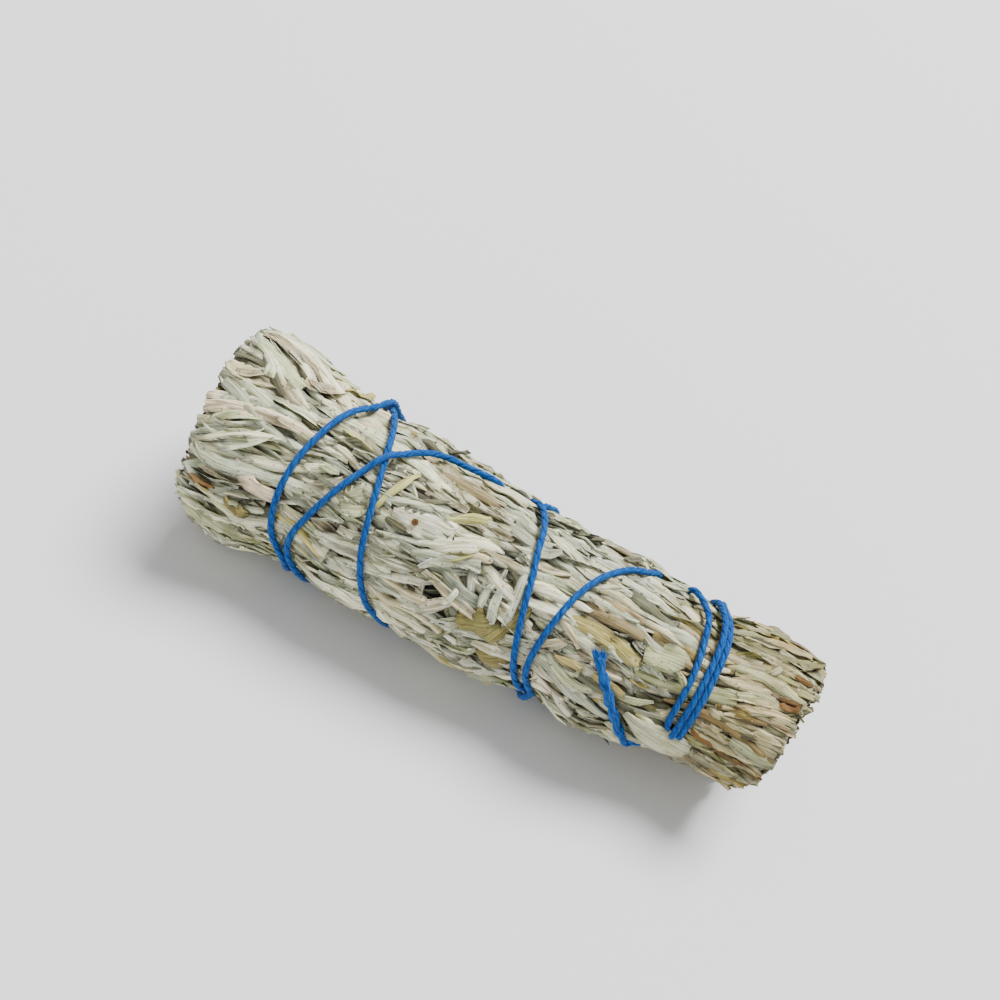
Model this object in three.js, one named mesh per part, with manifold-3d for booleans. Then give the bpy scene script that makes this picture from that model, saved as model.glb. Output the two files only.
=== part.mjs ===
// A dried sage bundle: cut leafy sprigs of sage laid side by side, pressed into a rough
// cylinder with both ends cut square, and bound by hand with one length of blue cotton twine.
// Millimetres, +Z up. The bundle lies along X on the plane Z = 0, its broad, leaf-tip end at
// -X and its slimmer, tied stem end at +X, and the origin is under the middle of its box.
import * as THREE from "three";
import { mergeVertices } from "three/addons/utils/BufferGeometryUtils.js";
import Module from "manifold-3d";

const wasm = await Module();
wasm.setup();

// The bundle: the radius over its leaves at stations along X, from the flared broad end to the
// waist where the twine holds the stem end.
const BUNDLE_PROFILE = [
  [-58, 18.6],
  [-49, 19.3],
  [-34, 17.3],
  [-18, 18.2],
  [0, 17.7],
  [14, 16.6],
  [24, 17.5],
  [34, 16.0],
  [42, 14.5],
  [52, 15.2],
  [64, 15.6],
];
const OUT_OF_ROUND = 0.011;
const BROAD_END_X = -55.2;
const TIED_END_X = 58.6;
const TIED_END_SLANT = 1.6; // the tied end is cut longer on its upper back side
const TIED_END_SLANT_ANGLE = 110; // degrees round the bundle where that end is longest
const CUT_RAGGED = 0.7; // how far one sprig's cut end may stand out past the next
const AXIS_HEIGHT = 15.5; // of the bundle's middle line at X = 0: it lies pressed a little flat
const AXIS_SLOPE = -0.0247; // the middle line sinks towards the slimmer end

// The sprigs: a ring of outer ones round a few inner ones.
const OUTER_SPRIGS = 10;
const INNER_SPRIGS = 3;
const INNER_RADIUS = 7.6;
const INNER_BORE = 0.5;
const GAP = 0.3; // between one sprig and the next, and round the twine
const SPRIG_WAVE = 3.5; // degrees that the line between two sprigs wanders
const SPRIG_WAVE_LENGTH = 13; // mm of X for each radian of that wave
const SPRIG_SPIRAL = 0.06; // degrees that the line turns in each mm
const HEART_STATIONS = 7;
const HEART_SLICES = 3;
const INNER_SLICES = 10;
const STEM_RADIUS = 1.3;
const STEM_SIDES = 7;
const STEM_SUNK = 12;
const STEM_OUT = 1.0;
const OUTER_STEM_AT = [10.1, 11.6]; // from the bundle's middle line
const INNER_STEM_AT = 3.6;
const CUT_LEAVES = 2; // cut leaf ends showing at each end of an outer sprig
const INNER_CUT_LEAVES = 4;
const INNER_CUT_LEAVES_AT = [2.6, 6.6];
const CUT_LEAF_OUT = [0.35, 1.0];
const CUT_LEAF_SUNK = 2.5;
const CUT_LEAF_THICK = 0.45;
const CUT_LEAF_WIDE = [1.0, 1.5]; // half its width
const CUT_LEAF_MARGIN = 1.1; // from the heart's inner and outer sides
const OUTER_SEED = 71;
const INNER_SEED = 503;

// The leaves of an outer sprig: rows along it, shingled from the stem end to the tips.
const LEAF_LAYER = 1.8; // depth of the loose leaves over a sprig's pressed heart
const LEAVES_PER_ROW = 3;
const LEAF_ROWS = 5;
const LEAF_LENGTH = [27, 35];
const LEAF_WIDTH = [3.6, 4.8];
const LEAF_RIDGE = 0.7;
const LEAF_SKEW = 9; // degrees either side of the bundle's length
const LEAF_BOW = 1.4;
const LEAF_ROOT_RISE = -0.2; // how far the leaf's edges stand over the heart at its root
const LEAF_TIP_RISE = 1.3; // and at its tip, where every other leaf lies half a layer higher
const LEAF_LAYER_STEP = 0.3;
const LEAF_SEGMENTS = 2;

// The twine. Its route is a list of [X, degrees round the bundle], where 0 is the front, 90 the
// top, 180 the back and 270 underneath. It leaves the knot low on the front, climbs to the broad
// end in open turns, comes back crossing them, and takes two close turns before the knot.
const TWINE_RADIUS = 0.65;
const TWINE_SUNK = 0.0; // depth of the twine's centre under the leaves' outer surface
const TWINE_SIDES = 6;
const TWINE_STEP = 5; // mm from one section of its tube to the next
const TWINE_STEP_ON_HUMP = 2;
const TWINE_ROOM = 0.4; // cut in the leaves all round it
const TWINE_LOWEST = 0.4; // between the twine and the surface that the bundle lies on
const CROSSING_RISE = 1.6;
const CROSSING_REACH = 4.4; // half the length of the hump over a square crossing
const CROSSING_LONGEST = 9;
const TWINE_ROUTE = [
  // out of the knot and up the front, past the place of the last two turns
  [44.3, -24],
  [43.2, -9],
  [41.6, 7],
  [40.1, 22],
  [39.9, 36],
  [39.7, 50],
  [39.2, 67],
  [38.4, 84],
  [36.9, 101],
  [34.0, 116],
  [30.6, 137],
  [27.2, 170],
  [23.8, 225],
  [20.9, 280],
  [18.4, 315],
  [16.8, 331],
  // the second turn
  [15.1, 344],
  [13.3, 359],
  [11.7, 375],
  [10.3, 392],
  [9.2, 406],
  [8.2, 421],
  [6.9, 437],
  [5.3, 455],
  [3.4, 470],
  [0.6, 488],
  [-3.6, 535],
  [-7.6, 610],
  [-9.6, 665],
  // the third
  [-11.6, 696],
  [-14.5, 711],
  [-17.2, 727],
  [-19.4, 745],
  [-20.9, 764],
  [-22.3, 783],
  [-23.9, 801],
  [-26.0, 819],
  [-28.4, 838],
  [-31.0, 870],
  [-32.2, 920],
  [-31.9, 990],
  [-31.2, 1040],
  // the fourth, furthest out on the broad end
  [-31.2, 1062],
  [-33.0, 1073],
  [-35.0, 1083],
  [-36.2, 1102],
  [-36.4, 1122],
  [-35.9, 1138],
  [-34.7, 1156],
  [-32.8, 1176],
  [-29.6, 1200],
  [-27.2, 1240],
  [-26.4, 1310],
  [-27.4, 1385],
  // the fifth turns back and crosses the third on the front
  [-29.3, 1421],
  [-31.2, 1438],
  [-31.3, 1453],
  [-29.4, 1475],
  [-26.2, 1500],
  [-21.8, 1524],
  [-15.6, 1542],
  [-8.5, 1549],
  [-2.0, 1553],
  [4.0, 1570],
  [9.2, 1615],
  [12.6, 1690],
  [14.4, 1740],
  // the sixth
  [16.9, 1771],
  [17.6, 1781],
  [16.6, 1790],
  [15.3, 1801],
  [14.6, 1811],
  [14.4, 1826],
  [15.0, 1846],
  [16.2, 1864],
  [18.6, 1884],
  [22.2, 1902],
  [26.0, 1915],
  [30.2, 1942],
  [34.6, 1990],
  [38.4, 2050],
  [41.0, 2110],
  // the first close turn
  [41.6, 2150],
  [41.5, 2178],
  [41.4, 2200],
  [41.4, 2222],
  [41.2, 2244],
  [40.4, 2264],
  [39.0, 2282],
  [38.6, 2305],
  [40.2, 2350],
  [42.2, 2410],
  [42.9, 2470],
  // the second close turn, and down behind the knot
  [43.1, 2510],
  [43.0, 2538],
  [42.9, 2560],
  [42.9, 2582],
  [42.8, 2604],
  [42.2, 2624],
  [41.3, 2642],
  [41.6, 2672],
  [43.2, 2730],
  [44.4, 2790],
  [44.9, 2838],
  [44.5, 2854],
];
// The knot, and the two ends that lie twisted together from it up the front. The route is the
// middle line of the pair.
const KNOT = { x: 44.4, degrees: -25, half: [1.5, 1.9, 1.2], rise: 0.5 };
const TAIL_ROUTE = [
  [44.0, -24],
  [42.0, -18],
  [39.4, -12],
  [36.4, -7],
  [34.0, 1],
  [31.8, 11],
  [29.9, 19],
  [28.0, 27],
  [26.0, 34],
  [24.0, 42],
];
const TAIL_LAY = 7.4; // one full twist of the pair
const TAIL_RISE = 0.95; // middle of the pair over the leaves' outer surface
const TAIL_OVER_TURNS = 1.5; // more rise where it passes over the close turns
const TAIL_OVER_TURNS_X = [37.5, 40.5];
const TAIL_APART = 0.72; // each end from the middle of the pair
const TAIL_STEP = 1.9;
const TAIL_UNEVEN = 1.1; // how much further one end runs than the other

const DEGREES = Math.PI / 180;

// A repeatable draw of numbers from 0 to 1.
function seeded(seed) {
  let state = seed >>> 0;
  return () => {
    state = (state + 0x6d2b79f5) >>> 0;
    let mixed = Math.imul(state ^ (state >>> 15), 1 | state);
    mixed = (mixed + Math.imul(mixed ^ (mixed >>> 7), 61 | mixed)) ^ mixed;
    return ((mixed ^ (mixed >>> 14)) >>> 0) / 4294967296;
  };
}

const between = (low, high, share) => low + (high - low) * share;
const stepped = (low, high, value) => Math.min(1, Math.max(0, (value - low) / (high - low)));

// The radius over the leaves at x, eased between the stations of the profile.
function profileRadius(x) {
  const last = BUNDLE_PROFILE.length - 1;
  if (x <= BUNDLE_PROFILE[0][0]) return BUNDLE_PROFILE[0][1];
  if (x >= BUNDLE_PROFILE[last][0]) return BUNDLE_PROFILE[last][1];
  const i = BUNDLE_PROFILE.findIndex(([station]) => station > x) - 1;
  const [x0, r0] = BUNDLE_PROFILE[i];
  const [x1, r1] = BUNDLE_PROFILE[i + 1];
  const eased = 0.5 - 0.5 * Math.cos(((x - x0) / (x1 - x0)) * Math.PI);
  return between(r0, r1, eased);
}

function surfaceRadius(x, degrees) {
  const a = degrees * DEGREES;
  const lumps = Math.sin(2 * a + 0.6) + 0.7 * Math.sin(3 * a + 0.05 * x);
  return profileRadius(x) * (1 + OUT_OF_ROUND * lumps);
}

// Bundle coordinates, along X, degrees round and mm from the middle line, to a point.
function place(x, degrees, r) {
  const a = degrees * DEGREES;
  return new THREE.Vector3(x, -r * Math.cos(a), AXIS_HEIGHT + AXIS_SLOPE * x + r * Math.sin(a));
}

// A closed mesh, whichever way its faces look, as a solid that can be joined and cut.
function solidOf(geometry) {
  const bare = geometry.clone();
  bare.deleteAttribute("normal");
  bare.deleteAttribute("uv");
  const merged = mergeVertices(bare, 1e-4);
  const vertProperties = new Float32Array(merged.attributes.position.array);
  const triVerts = new Uint32Array(merged.index.array);
  const solid = new wasm.Manifold(new wasm.Mesh({ numProp: 3, vertProperties, triVerts }));
  if (solid.volume() > 0) return solid;
  for (let i = 0; i < triVerts.length; i += 3) {
    [triVerts[i + 1], triVerts[i + 2]] = [triVerts[i + 2], triVerts[i + 1]];
  }
  return new wasm.Manifold(new wasm.Mesh({ numProp: 3, vertProperties, triVerts }));
}

// The largest body of a solid, which drops the loose scraps that a cut leaves.
function largestBody(solid) {
  const bodies = solid.decompose();
  return bodies.reduce((best, body) => (body.volume() > best.volume() ? body : best));
}

function geometryOf(solid) {
  const mesh = solid.getMesh();
  const geometry = new THREE.BufferGeometry();
  const positions = new Float32Array(mesh.vertProperties);
  geometry.setAttribute("position", new THREE.BufferAttribute(positions, 3));
  geometry.setIndex(new THREE.BufferAttribute(new Uint32Array(mesh.triVerts), 1));
  geometry.computeVertexNormals();
  return geometry;
}

// A three.js primitive with every vertex moved by a function of its place.
function bent(geometry, move) {
  const position = geometry.getAttribute("position");
  const from = new THREE.Vector3();
  for (let i = 0; i < position.count; i++) {
    const to = move(from.fromBufferAttribute(position, i));
    position.setXYZ(i, to.x, to.y, to.z);
  }
  return geometry;
}

// The line between outer sprig k and the one before it, in degrees, at x.
function sprigLine(k, x) {
  const wave = SPRIG_WAVE * Math.sin(x / SPRIG_WAVE_LENGTH + 2.1 * (k % OUTER_SPRIGS));
  return (k * 360) / OUTER_SPRIGS + wave + SPRIG_SPIRAL * x;
}

function tiedEnd(degrees) {
  return TIED_END_X + TIED_END_SLANT * Math.cos((degrees - TIED_END_SLANT_ANGLE) * DEGREES);
}

// A sector of the bundle between two lines, from radius inner to outer(x, degrees). A box is
// laid round the bundle: its X runs along, its Y round and its Z outwards. Half a gap comes off
// each long side.
function sector(side, inner, outer, broad, longer, stations, slices) {
  const box = new THREE.BoxGeometry(1, 1, 1, stations, slices, 1);
  return bent(box, (p) => {
    const along = p.x + 0.5;
    const guide = between(BROAD_END_X, TIED_END_X, along);
    const [a, b] = side(guide);
    const degrees = between(a, b, p.y + 0.5);
    const x = between(broad, tiedEnd(degrees) + longer, along);
    const r = p.z < 0 ? inner : outer(x, degrees);
    const atSide = Math.abs(p.y) > 0.499 ? -Math.sign(p.y) : 0;
    return place(x, degrees + (atSide * GAP) / 2 / r / DEGREES, r);
  });
}

// One pressed leaf: a slim cone with three corners to its section, two edges and a ridge, laid
// with its root towards the tied end. Its width follows a lance shape. It is sunk in the heart at
// the root and rises towards the tip, over the roots of the next row.
function leaf(root, turn, length, width, layer, bow) {
  const cone = new THREE.ConeGeometry(1, 1, 3, LEAF_SEGMENTS);
  const way = (180 + turn) * DEGREES;
  return bent(cone, (p) => {
    const t = p.y + 0.5;
    const tip = t > 0.999;
    const ridge = !tip && p.z > 0;
    const side = tip || ridge ? 0 : Math.sign(p.x);
    const half = (width / 2) * Math.sin(Math.PI * between(0.12, 1, t) ** 0.8) ** 0.7;
    const across = side * half + bow * Math.sin(Math.PI * t);
    const x = root.x + Math.cos(way) * t * length - Math.sin(way) * across;
    const arc = Math.sin(way) * t * length + Math.cos(way) * across;
    const degrees = root.degrees + arc / profileRadius(x) / DEGREES;
    const edge = between(LEAF_ROOT_RISE, LEAF_TIP_RISE, Math.sin((Math.PI / 2) * t)) - layer;
    const rise = edge + (ridge ? LEAF_RIDGE : 0);
    return place(x, degrees, surfaceRadius(x, degrees) - LEAF_LAYER + rise);
  });
}

// A short rod along X at a cut end, round or flattened: a stem, or the cut end of a leaf.
function rod(x0, x1, degrees, r, out, wide, sides) {
  const a = degrees * DEGREES;
  return bent(new THREE.CylinderGeometry(1, 1, 1, sides), (p) => {
    const at = place(between(x0, x1, p.y + 0.5), degrees, r);
    at.y += -Math.cos(a) * p.x * out + Math.sin(a) * p.z * wide;
    at.z += Math.sin(a) * p.x * out + Math.cos(a) * p.z * wide;
    return at;
  });
}

function stem(end, degrees, r) {
  return rod(end - STEM_SUNK, end, degrees, r, STEM_RADIUS, STEM_RADIUS, STEM_SIDES);
}

// The cut ends of a sprig: flat leaf ends at both, spread over its section by the draw.
function withCutEnds(sprig, draw, side, radii, broad, longer, count) {
  let made = sprig;
  for (let i = 0; i < 2 * count; i++) {
    const tied = i % 2 === 0;
    const end = tied ? TIED_END_X : BROAD_END_X;
    const [a, b] = side(end);
    const share = (Math.floor(i / 2) + 0.5) / count;
    const r = between(...radii, draw());
    const wide = between(...CUT_LEAF_WIDE, draw());
    const room = (wide + GAP) / r / DEGREES;
    const degrees = between(a + room, b - room, (share * 1.618 + 0.3 * draw()) % 1);
    const out = between(...CUT_LEAF_OUT, draw());
    const face = tied ? tiedEnd(degrees) + longer : broad;
    const x0 = tied ? face - CUT_LEAF_SUNK : face - out;
    const x1 = tied ? face + out : face + CUT_LEAF_SUNK;
    made = made.add(solidOf(rod(x0, x1, degrees, r, CUT_LEAF_THICK, wide, 4)));
  }
  return made;
}

// An outer sprig: its pressed heart, its leaves in shingled rows, its woody stem and its cut
// ends, all joined, held inside its own sector, and clear of the twine and the ground.
function outerSprig(k, room) {
  const draw = seeded(OUTER_SEED + 13 * k);
  const side = (x) => [sprigLine(k, x), sprigLine(k + 1, x)];
  const broad = BROAD_END_X - CUT_RAGGED * draw();
  const longer = CUT_RAGGED * (draw() - 0.5);
  const inner = INNER_RADIUS + GAP;
  const heart = (x, degrees) => surfaceRadius(x, degrees) - LEAF_LAYER;
  const leafTops = (x, degrees) => surfaceRadius(x, degrees) + LEAF_LAYER;
  let made = solidOf(sector(side, inner, heart, broad, longer, HEART_STATIONS, HEART_SLICES));
  const spacing = (TIED_END_X - BROAD_END_X) / (LEAF_ROWS - 1);
  for (let i = 0; i < LEAF_ROWS * LEAVES_PER_ROW; i++) {
    const row = Math.floor(i / LEAVES_PER_ROW);
    const place = i % LEAVES_PER_ROW;
    const length = between(...LEAF_LENGTH, draw());
    const width = between(...LEAF_WIDTH, draw());
    const along = row + (place % 2) * 0.5 + 0.4 * (draw() - 0.5);
    const x = TIED_END_X + 6 - spacing * along;
    const [a, b] = side(x - length / 2);
    const share = (place + 0.5 + 0.3 * (draw() - 0.5)) / LEAVES_PER_ROW;
    const turn = LEAF_SKEW * (draw() * 2 - 1);
    const bow = LEAF_BOW * (draw() - 0.5);
    const swing = (turn * length) / 2 / profileRadius(x);
    const root = { x, degrees: between(a, b, share) + swing };
    const layer = ((row + place) % 2) * LEAF_LAYER_STEP;
    made = made.add(solidOf(leaf(root, turn, length, width, layer, bow)));
  }
  made = made.intersect(
    solidOf(sector(side, inner, leafTops, broad, longer, HEART_STATIONS, HEART_SLICES)),
  );
  const [a, b] = side(TIED_END_X);
  const middle = (a + b) / 2;
  const stemEnd = tiedEnd(middle) + longer + STEM_OUT;
  made = made.add(solidOf(stem(stemEnd, middle, between(...OUTER_STEM_AT, draw()))));
  const heartTop = profileRadius(TIED_END_X) - LEAF_LAYER;
  const radii = [INNER_RADIUS + CUT_LEAF_MARGIN, heartTop - CUT_LEAF_MARGIN];
  made = withCutEnds(made, draw, side, radii, broad, longer, CUT_LEAVES);
  return largestBody(made.subtract(room));
}

// An inner sprig: a plain pressed wedge of leaves and stem, which shows only at its cut ends.
function innerSprig(k) {
  const draw = seeded(INNER_SEED + 17 * k);
  const step = 360 / INNER_SPRIGS;
  const side = () => [k * step, (k + 1) * step];
  const broad = BROAD_END_X - CUT_RAGGED * draw();
  const longer = CUT_RAGGED * (draw() - 0.5);
  const outer = () => INNER_RADIUS;
  let made = solidOf(sector(side, INNER_BORE, outer, broad, longer, 1, INNER_SLICES));
  const middle = (k + 0.5) * step;
  made = made.add(solidOf(stem(tiedEnd(middle) + longer + STEM_OUT, middle, INNER_STEM_AT)));
  return withCutEnds(made, draw, side, INNER_CUT_LEAVES_AT, broad, longer, INNER_CUT_LEAVES);
}

// A smooth line whose even steps fall on its own points, however far apart they are.
class Strand extends THREE.CatmullRomCurve3 {
  getUtoTmapping(u) {
    return u;
  }
}

// A tube with a section at every point.
function tube(points, radius, sides) {
  const section = new THREE.Shape(
    Array.from({ length: sides }, (_, i) => {
      const a = (i / sides) * 2 * Math.PI;
      return new THREE.Vector2(radius * Math.cos(a), radius * Math.sin(a));
    }),
  );
  const extrudePath = new Strand(points, false, "centripetal");
  const steps = points.length - 1;
  return new THREE.ExtrudeGeometry(section, { steps, extrudePath, curveSegments: 1 });
}

// The route as evenly spaced stations, each with its X, its degrees and its distance along.
function stationsOf(route, spacing) {
  const flat = new THREE.CatmullRomCurve3(
    route.map(([x, degrees]) => new THREE.Vector3(x, degrees * DEGREES * profileRadius(0), 0)),
    false,
    "centripetal",
  );
  flat.arcLengthDivisions = route.length * 40;
  const count = Math.ceil(flat.getLength() / spacing);
  return flat.getSpacedPoints(count).map((p, i) => ({
    x: p.x,
    degrees: p.y / DEGREES / profileRadius(0),
    along: i * spacing,
  }));
}

// Where a later stretch of the route crosses an earlier one: its station, and the sine of the
// angle between the two.
function crossingsOf(stations) {
  const found = [];
  const scale = DEGREES * profileRadius(0);
  const apart = 20; // stations, past which two stretches aren't neighbours
  const near = 3; // mm, past which two stations can't be at a crossing
  for (let j = apart; j < stations.length - 1; j++) {
    const p = stations[j];
    const px = stations[j + 1].x - p.x;
    const py = (stations[j + 1].degrees - p.degrees) * scale;
    for (let i = 0; i < j - apart; i++) {
      const q = stations[i];
      const turns = Math.round((p.degrees - q.degrees) / 360) * 360;
      const dx = q.x - p.x;
      const dy = (q.degrees + turns - p.degrees) * scale;
      if (Math.hypot(dx, dy) > near) continue;
      const qx = stations[i + 1].x - q.x;
      const qy = (stations[i + 1].degrees - q.degrees) * scale;
      const cross = px * qy - py * qx;
      const s = (dx * qy - dy * qx) / cross;
      const t = (dx * py - dy * px) / cross;
      if (s < 0 || s >= 1 || t < 0 || t >= 1) continue;
      const sine = Math.abs(cross) / Math.hypot(px, py) / Math.hypot(qx, qy);
      found.push({ along: p.along, sine });
    }
  }
  return found;
}

// The middle line of the wound twine: on the leaves' surface, with a hump over each crossing,
// and its points closer together there.
function twineLine() {
  const stations = stationsOf(TWINE_ROUTE, 1);
  const crossings = crossingsOf(stations);
  const points = [];
  let next = 0;
  for (const { x, degrees, along } of stations) {
    const hump = crossings.reduce((highest, { along: at, sine }) => {
      const reach = Math.min(CROSSING_LONGEST, CROSSING_REACH / sine);
      const share = Math.min(1, Math.abs(along - at) / reach);
      return Math.max(highest, CROSSING_RISE * (0.5 + 0.5 * Math.cos(Math.PI * share)));
    }, 0);
    next = Math.min(next, hump > 0 ? next - TWINE_STEP + TWINE_STEP_ON_HUMP : next);
    if (along < next) continue;
    next = along + TWINE_STEP;
    const point = place(x, degrees, surfaceRadius(x, degrees) - TWINE_SUNK + hump);
    point.z = Math.max(point.z, TWINE_LOWEST + TWINE_RADIUS);
    points.push(point);
  }
  return points;
}

// One of the two ends: a helix round the tail's middle line.
function tailLine(end) {
  const stations = stationsOf(TAIL_ROUTE, TAIL_STEP);
  const last = stations.length - 1;
  const kept = stations.filter(({ along }) => {
    return end === 0 || along < stations[last].along - TAIL_UNEVEN;
  });
  return kept.map(({ x, degrees, along }) => {
    const over = TAIL_OVER_TURNS * stepped(...TAIL_OVER_TURNS_X, x);
    const turn = (along / TAIL_LAY) * 2 * Math.PI + end * Math.PI;
    const out = TAIL_RISE + over + TAIL_APART * Math.cos(turn);
    const aside = (TAIL_APART * Math.sin(turn)) / profileRadius(x) / DEGREES;
    return place(x, degrees + aside, surfaceRadius(x, degrees) + out);
  });
}

// A ball at the knot, drawn out to its three half sizes along X, round and out.
function knotBall(extra) {
  const [along, round, out] = KNOT.half;
  return bent(new THREE.SphereGeometry(1, 10, 7), (p) => {
    const degrees = KNOT.degrees + ((round + extra) * p.y) / profileRadius(KNOT.x) / DEGREES;
    const r = surfaceRadius(KNOT.x, KNOT.degrees) + KNOT.rise + (out + extra) * p.z;
    return place(KNOT.x + (along + extra) * p.x, degrees, r);
  });
}

const wound = twineLine();
const tails = [tailLine(0), tailLine(1)];

// The twine: the wound part, the knot and the two twisted ends, all one piece.
function twine() {
  let made = solidOf(tube(wound, TWINE_RADIUS, TWINE_SIDES));
  made = made.add(solidOf(knotBall(0)));
  for (const tail of tails) {
    made = made.add(solidOf(tube(tail, TWINE_RADIUS, TWINE_SIDES)));
  }
  return made;
}

// The room that the twine takes in the leaves, with the gap, in stretches that never meet
// themselves, and everything under the plane that the bundle lies on.
function roomToLeave() {
  const stretch = 14; // points, less than a turn
  const radius = TWINE_RADIUS + TWINE_ROOM;
  let room = solidOf(new THREE.BoxGeometry(300, 200, 40).translate(0, 0, -20));
  for (let i = 0; i < wound.length - 1; i += stretch) {
    const points = wound.slice(i, i + stretch + 1);
    room = room.add(solidOf(tube(points, radius, TWINE_SIDES)));
  }
  const middles = tails[1].map((p, i) => p.clone().lerp(tails[0][i], 0.5));
  const tailRadius = TAIL_APART + TWINE_RADIUS + GAP;
  room = room.add(solidOf(tube(middles, tailRadius, 8)));
  return room.add(solidOf(knotBall(GAP)));
}

const finish = (color, roughness) =>
  new THREE.MeshStandardMaterial({ color, roughness, metalness: 0 });
const SAGE_COLORS = [0xb9bda4, 0xb3b79c, 0xbdbba3, 0xafb49a];

const room = roomToLeave();
const group = new THREE.Group();
for (let k = 0; k < OUTER_SPRIGS; k++) {
  const color = SAGE_COLORS[k % SAGE_COLORS.length];
  const mesh = new THREE.Mesh(geometryOf(outerSprig(k, room)), finish(color, 0.95));
  mesh.name = `sprig_outer_${String(k + 1).padStart(2, "0")}`;
  group.add(mesh);
}
for (let k = 0; k < INNER_SPRIGS; k++) {
  const mesh = new THREE.Mesh(geometryOf(innerSprig(k)), finish(0x9c9478, 0.95));
  mesh.name = `sprig_inner_${k + 1}`;
  group.add(mesh);
}
const twineMesh = new THREE.Mesh(geometryOf(twine()), finish(0x2e639a, 0.9));
twineMesh.name = "twine";
group.add(twineMesh);

// The origin goes under the middle of the box.
const box = new THREE.Box3().setFromObject(group);
group.position.set(-(box.min.x + box.max.x) / 2, -(box.min.y + box.max.y) / 2, -box.min.z);

export default group;
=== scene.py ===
import math

import bpy
import numpy as np
from mathutils import Matrix, Vector


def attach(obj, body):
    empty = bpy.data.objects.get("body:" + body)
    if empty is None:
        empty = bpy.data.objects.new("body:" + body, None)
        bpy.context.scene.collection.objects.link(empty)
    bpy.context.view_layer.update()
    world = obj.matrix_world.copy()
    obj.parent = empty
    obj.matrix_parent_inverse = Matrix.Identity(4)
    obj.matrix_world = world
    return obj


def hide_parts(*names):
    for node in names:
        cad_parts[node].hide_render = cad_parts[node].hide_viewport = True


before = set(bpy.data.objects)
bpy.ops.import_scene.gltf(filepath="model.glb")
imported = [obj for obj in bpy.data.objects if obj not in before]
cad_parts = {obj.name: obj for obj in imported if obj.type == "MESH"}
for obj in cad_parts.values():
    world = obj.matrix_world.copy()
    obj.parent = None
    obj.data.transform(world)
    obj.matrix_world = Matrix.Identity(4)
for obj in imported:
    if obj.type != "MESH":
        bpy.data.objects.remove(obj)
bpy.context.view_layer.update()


# The camera looks down at the bundle from its front, with the bundle running from the upper
# left to the lower right of the picture. It keeps the slope of the bundle's middle line.
CAMERA_AWAY = 0.220
CAMERA_ELEVATION = math.radians(48)
CAMERA_ROUND = math.radians(4)
AXIS_ON_PICTURE = math.radians(29.45)
CAMERA_TIP = math.radians(1.415)
CAMERA_LENS = 43.56
MIDDLE = Vector((-0.0022573, 0.0000937, 0.0155))
MIDDLE_ON_PICTURE = (486.2, 570.0)
PIXELS_PER_METRE = 5500.0

back = Vector((
    math.sin(CAMERA_ROUND) * math.cos(CAMERA_ELEVATION),
    -math.cos(CAMERA_ROUND) * math.cos(CAMERA_ELEVATION),
    math.sin(CAMERA_ELEVATION),
))
level_right = (-back).cross(Vector((0, 0, 1))).normalized()
level_up = level_right.cross(-back)
roll = -AXIS_ON_PICTURE - math.atan2(level_up.x, level_right.x)
right = math.cos(roll) * level_right - math.sin(roll) * level_up
up = math.sin(roll) * level_right + math.cos(roll) * level_up
aside = (MIDDLE_ON_PICTURE[0] - 500) / PIXELS_PER_METRE
above = (500 - MIDDLE_ON_PICTURE[1]) / PIXELS_PER_METRE
tip = Matrix.Rotation(CAMERA_TIP, 3, "Y")
place_of_camera = MIDDLE + tip @ (back * CAMERA_AWAY - right * aside - up * above)
turned = Matrix((tip @ right, tip @ up, tip @ back)).transposed().to_4x4()
camera = bpy.data.objects.new("camera", bpy.data.cameras.new("camera"))
bpy.context.scene.collection.objects.link(camera)
camera.data.lens = CAMERA_LENS
camera.data.sensor_width = 36
camera.data.clip_start = 0.01
camera.matrix_world = Matrix.Translation(place_of_camera) @ turned
bpy.context.scene.camera = camera


# A large soft lamp hangs over the back of the bundle, a wide low one fills the front, and a
# pale sky fills the rest. The floor is a plain pale surface with a dry finish.
LAMPS = {
    "lamp_over_the_back": (Vector((0.40, 1.00, 2.00)), 1.2, 110.0),
    "lamp_low_in_front": (Vector((-0.50, -1.90, 0.35)), 1.6, 16.5),
}
SKY_COLOR = (0.94, 0.965, 1.0, 1)
SKY_POWER = 0.57
FLOOR_HALF = 4.0
FLOOR_COLOR = (0.790, 0.790, 0.795, 1)

for name, (lamp_place, size, power) in LAMPS.items():
    lamp = bpy.data.objects.new(name, bpy.data.lights.new(name, "AREA"))
    bpy.context.scene.collection.objects.link(lamp)
    lamp.data.shape = "DISK"
    lamp.data.size = size
    lamp.data.energy = power
    lamp.location = lamp_place
    lamp.rotation_euler = (-lamp_place).to_track_quat("-Z", "Y").to_euler()
sky = bpy.context.scene.world or bpy.data.worlds.new("sky")
bpy.context.scene.world = sky
sky.use_nodes = True
sky.node_tree.nodes["Background"].inputs["Color"].default_value = SKY_COLOR
sky.node_tree.nodes["Background"].inputs["Strength"].default_value = SKY_POWER


class Value:
    """One socket of a material. Sums and products of values add their Math nodes."""

    def __init__(self, maker, socket):
        self.maker = maker
        self.socket = socket

    def math(self, operation, *others):
        found = self.maker.node("ShaderNodeMath", {"operation": operation}, self, *others)
        return found["Value"]

    def __add__(self, other):
        return self.math("ADD", other)

    def __mul__(self, other):
        return self.math("MULTIPLY", other)

    def __sub__(self, other):
        return self.math("SUBTRACT", other)

    def __rsub__(self, other):
        return (self * -1.0) + other

    def between(self, low, high):
        """0 below low, 1 above high, and eased from one to the other between them."""
        settings = {"interpolation_type": "SMOOTHSTEP", "clamp": True}
        found = self.maker.node("ShaderNodeMapRange", settings, self, low, high)
        return found["Result"]

    __radd__ = __add__
    __rmul__ = __mul__


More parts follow.
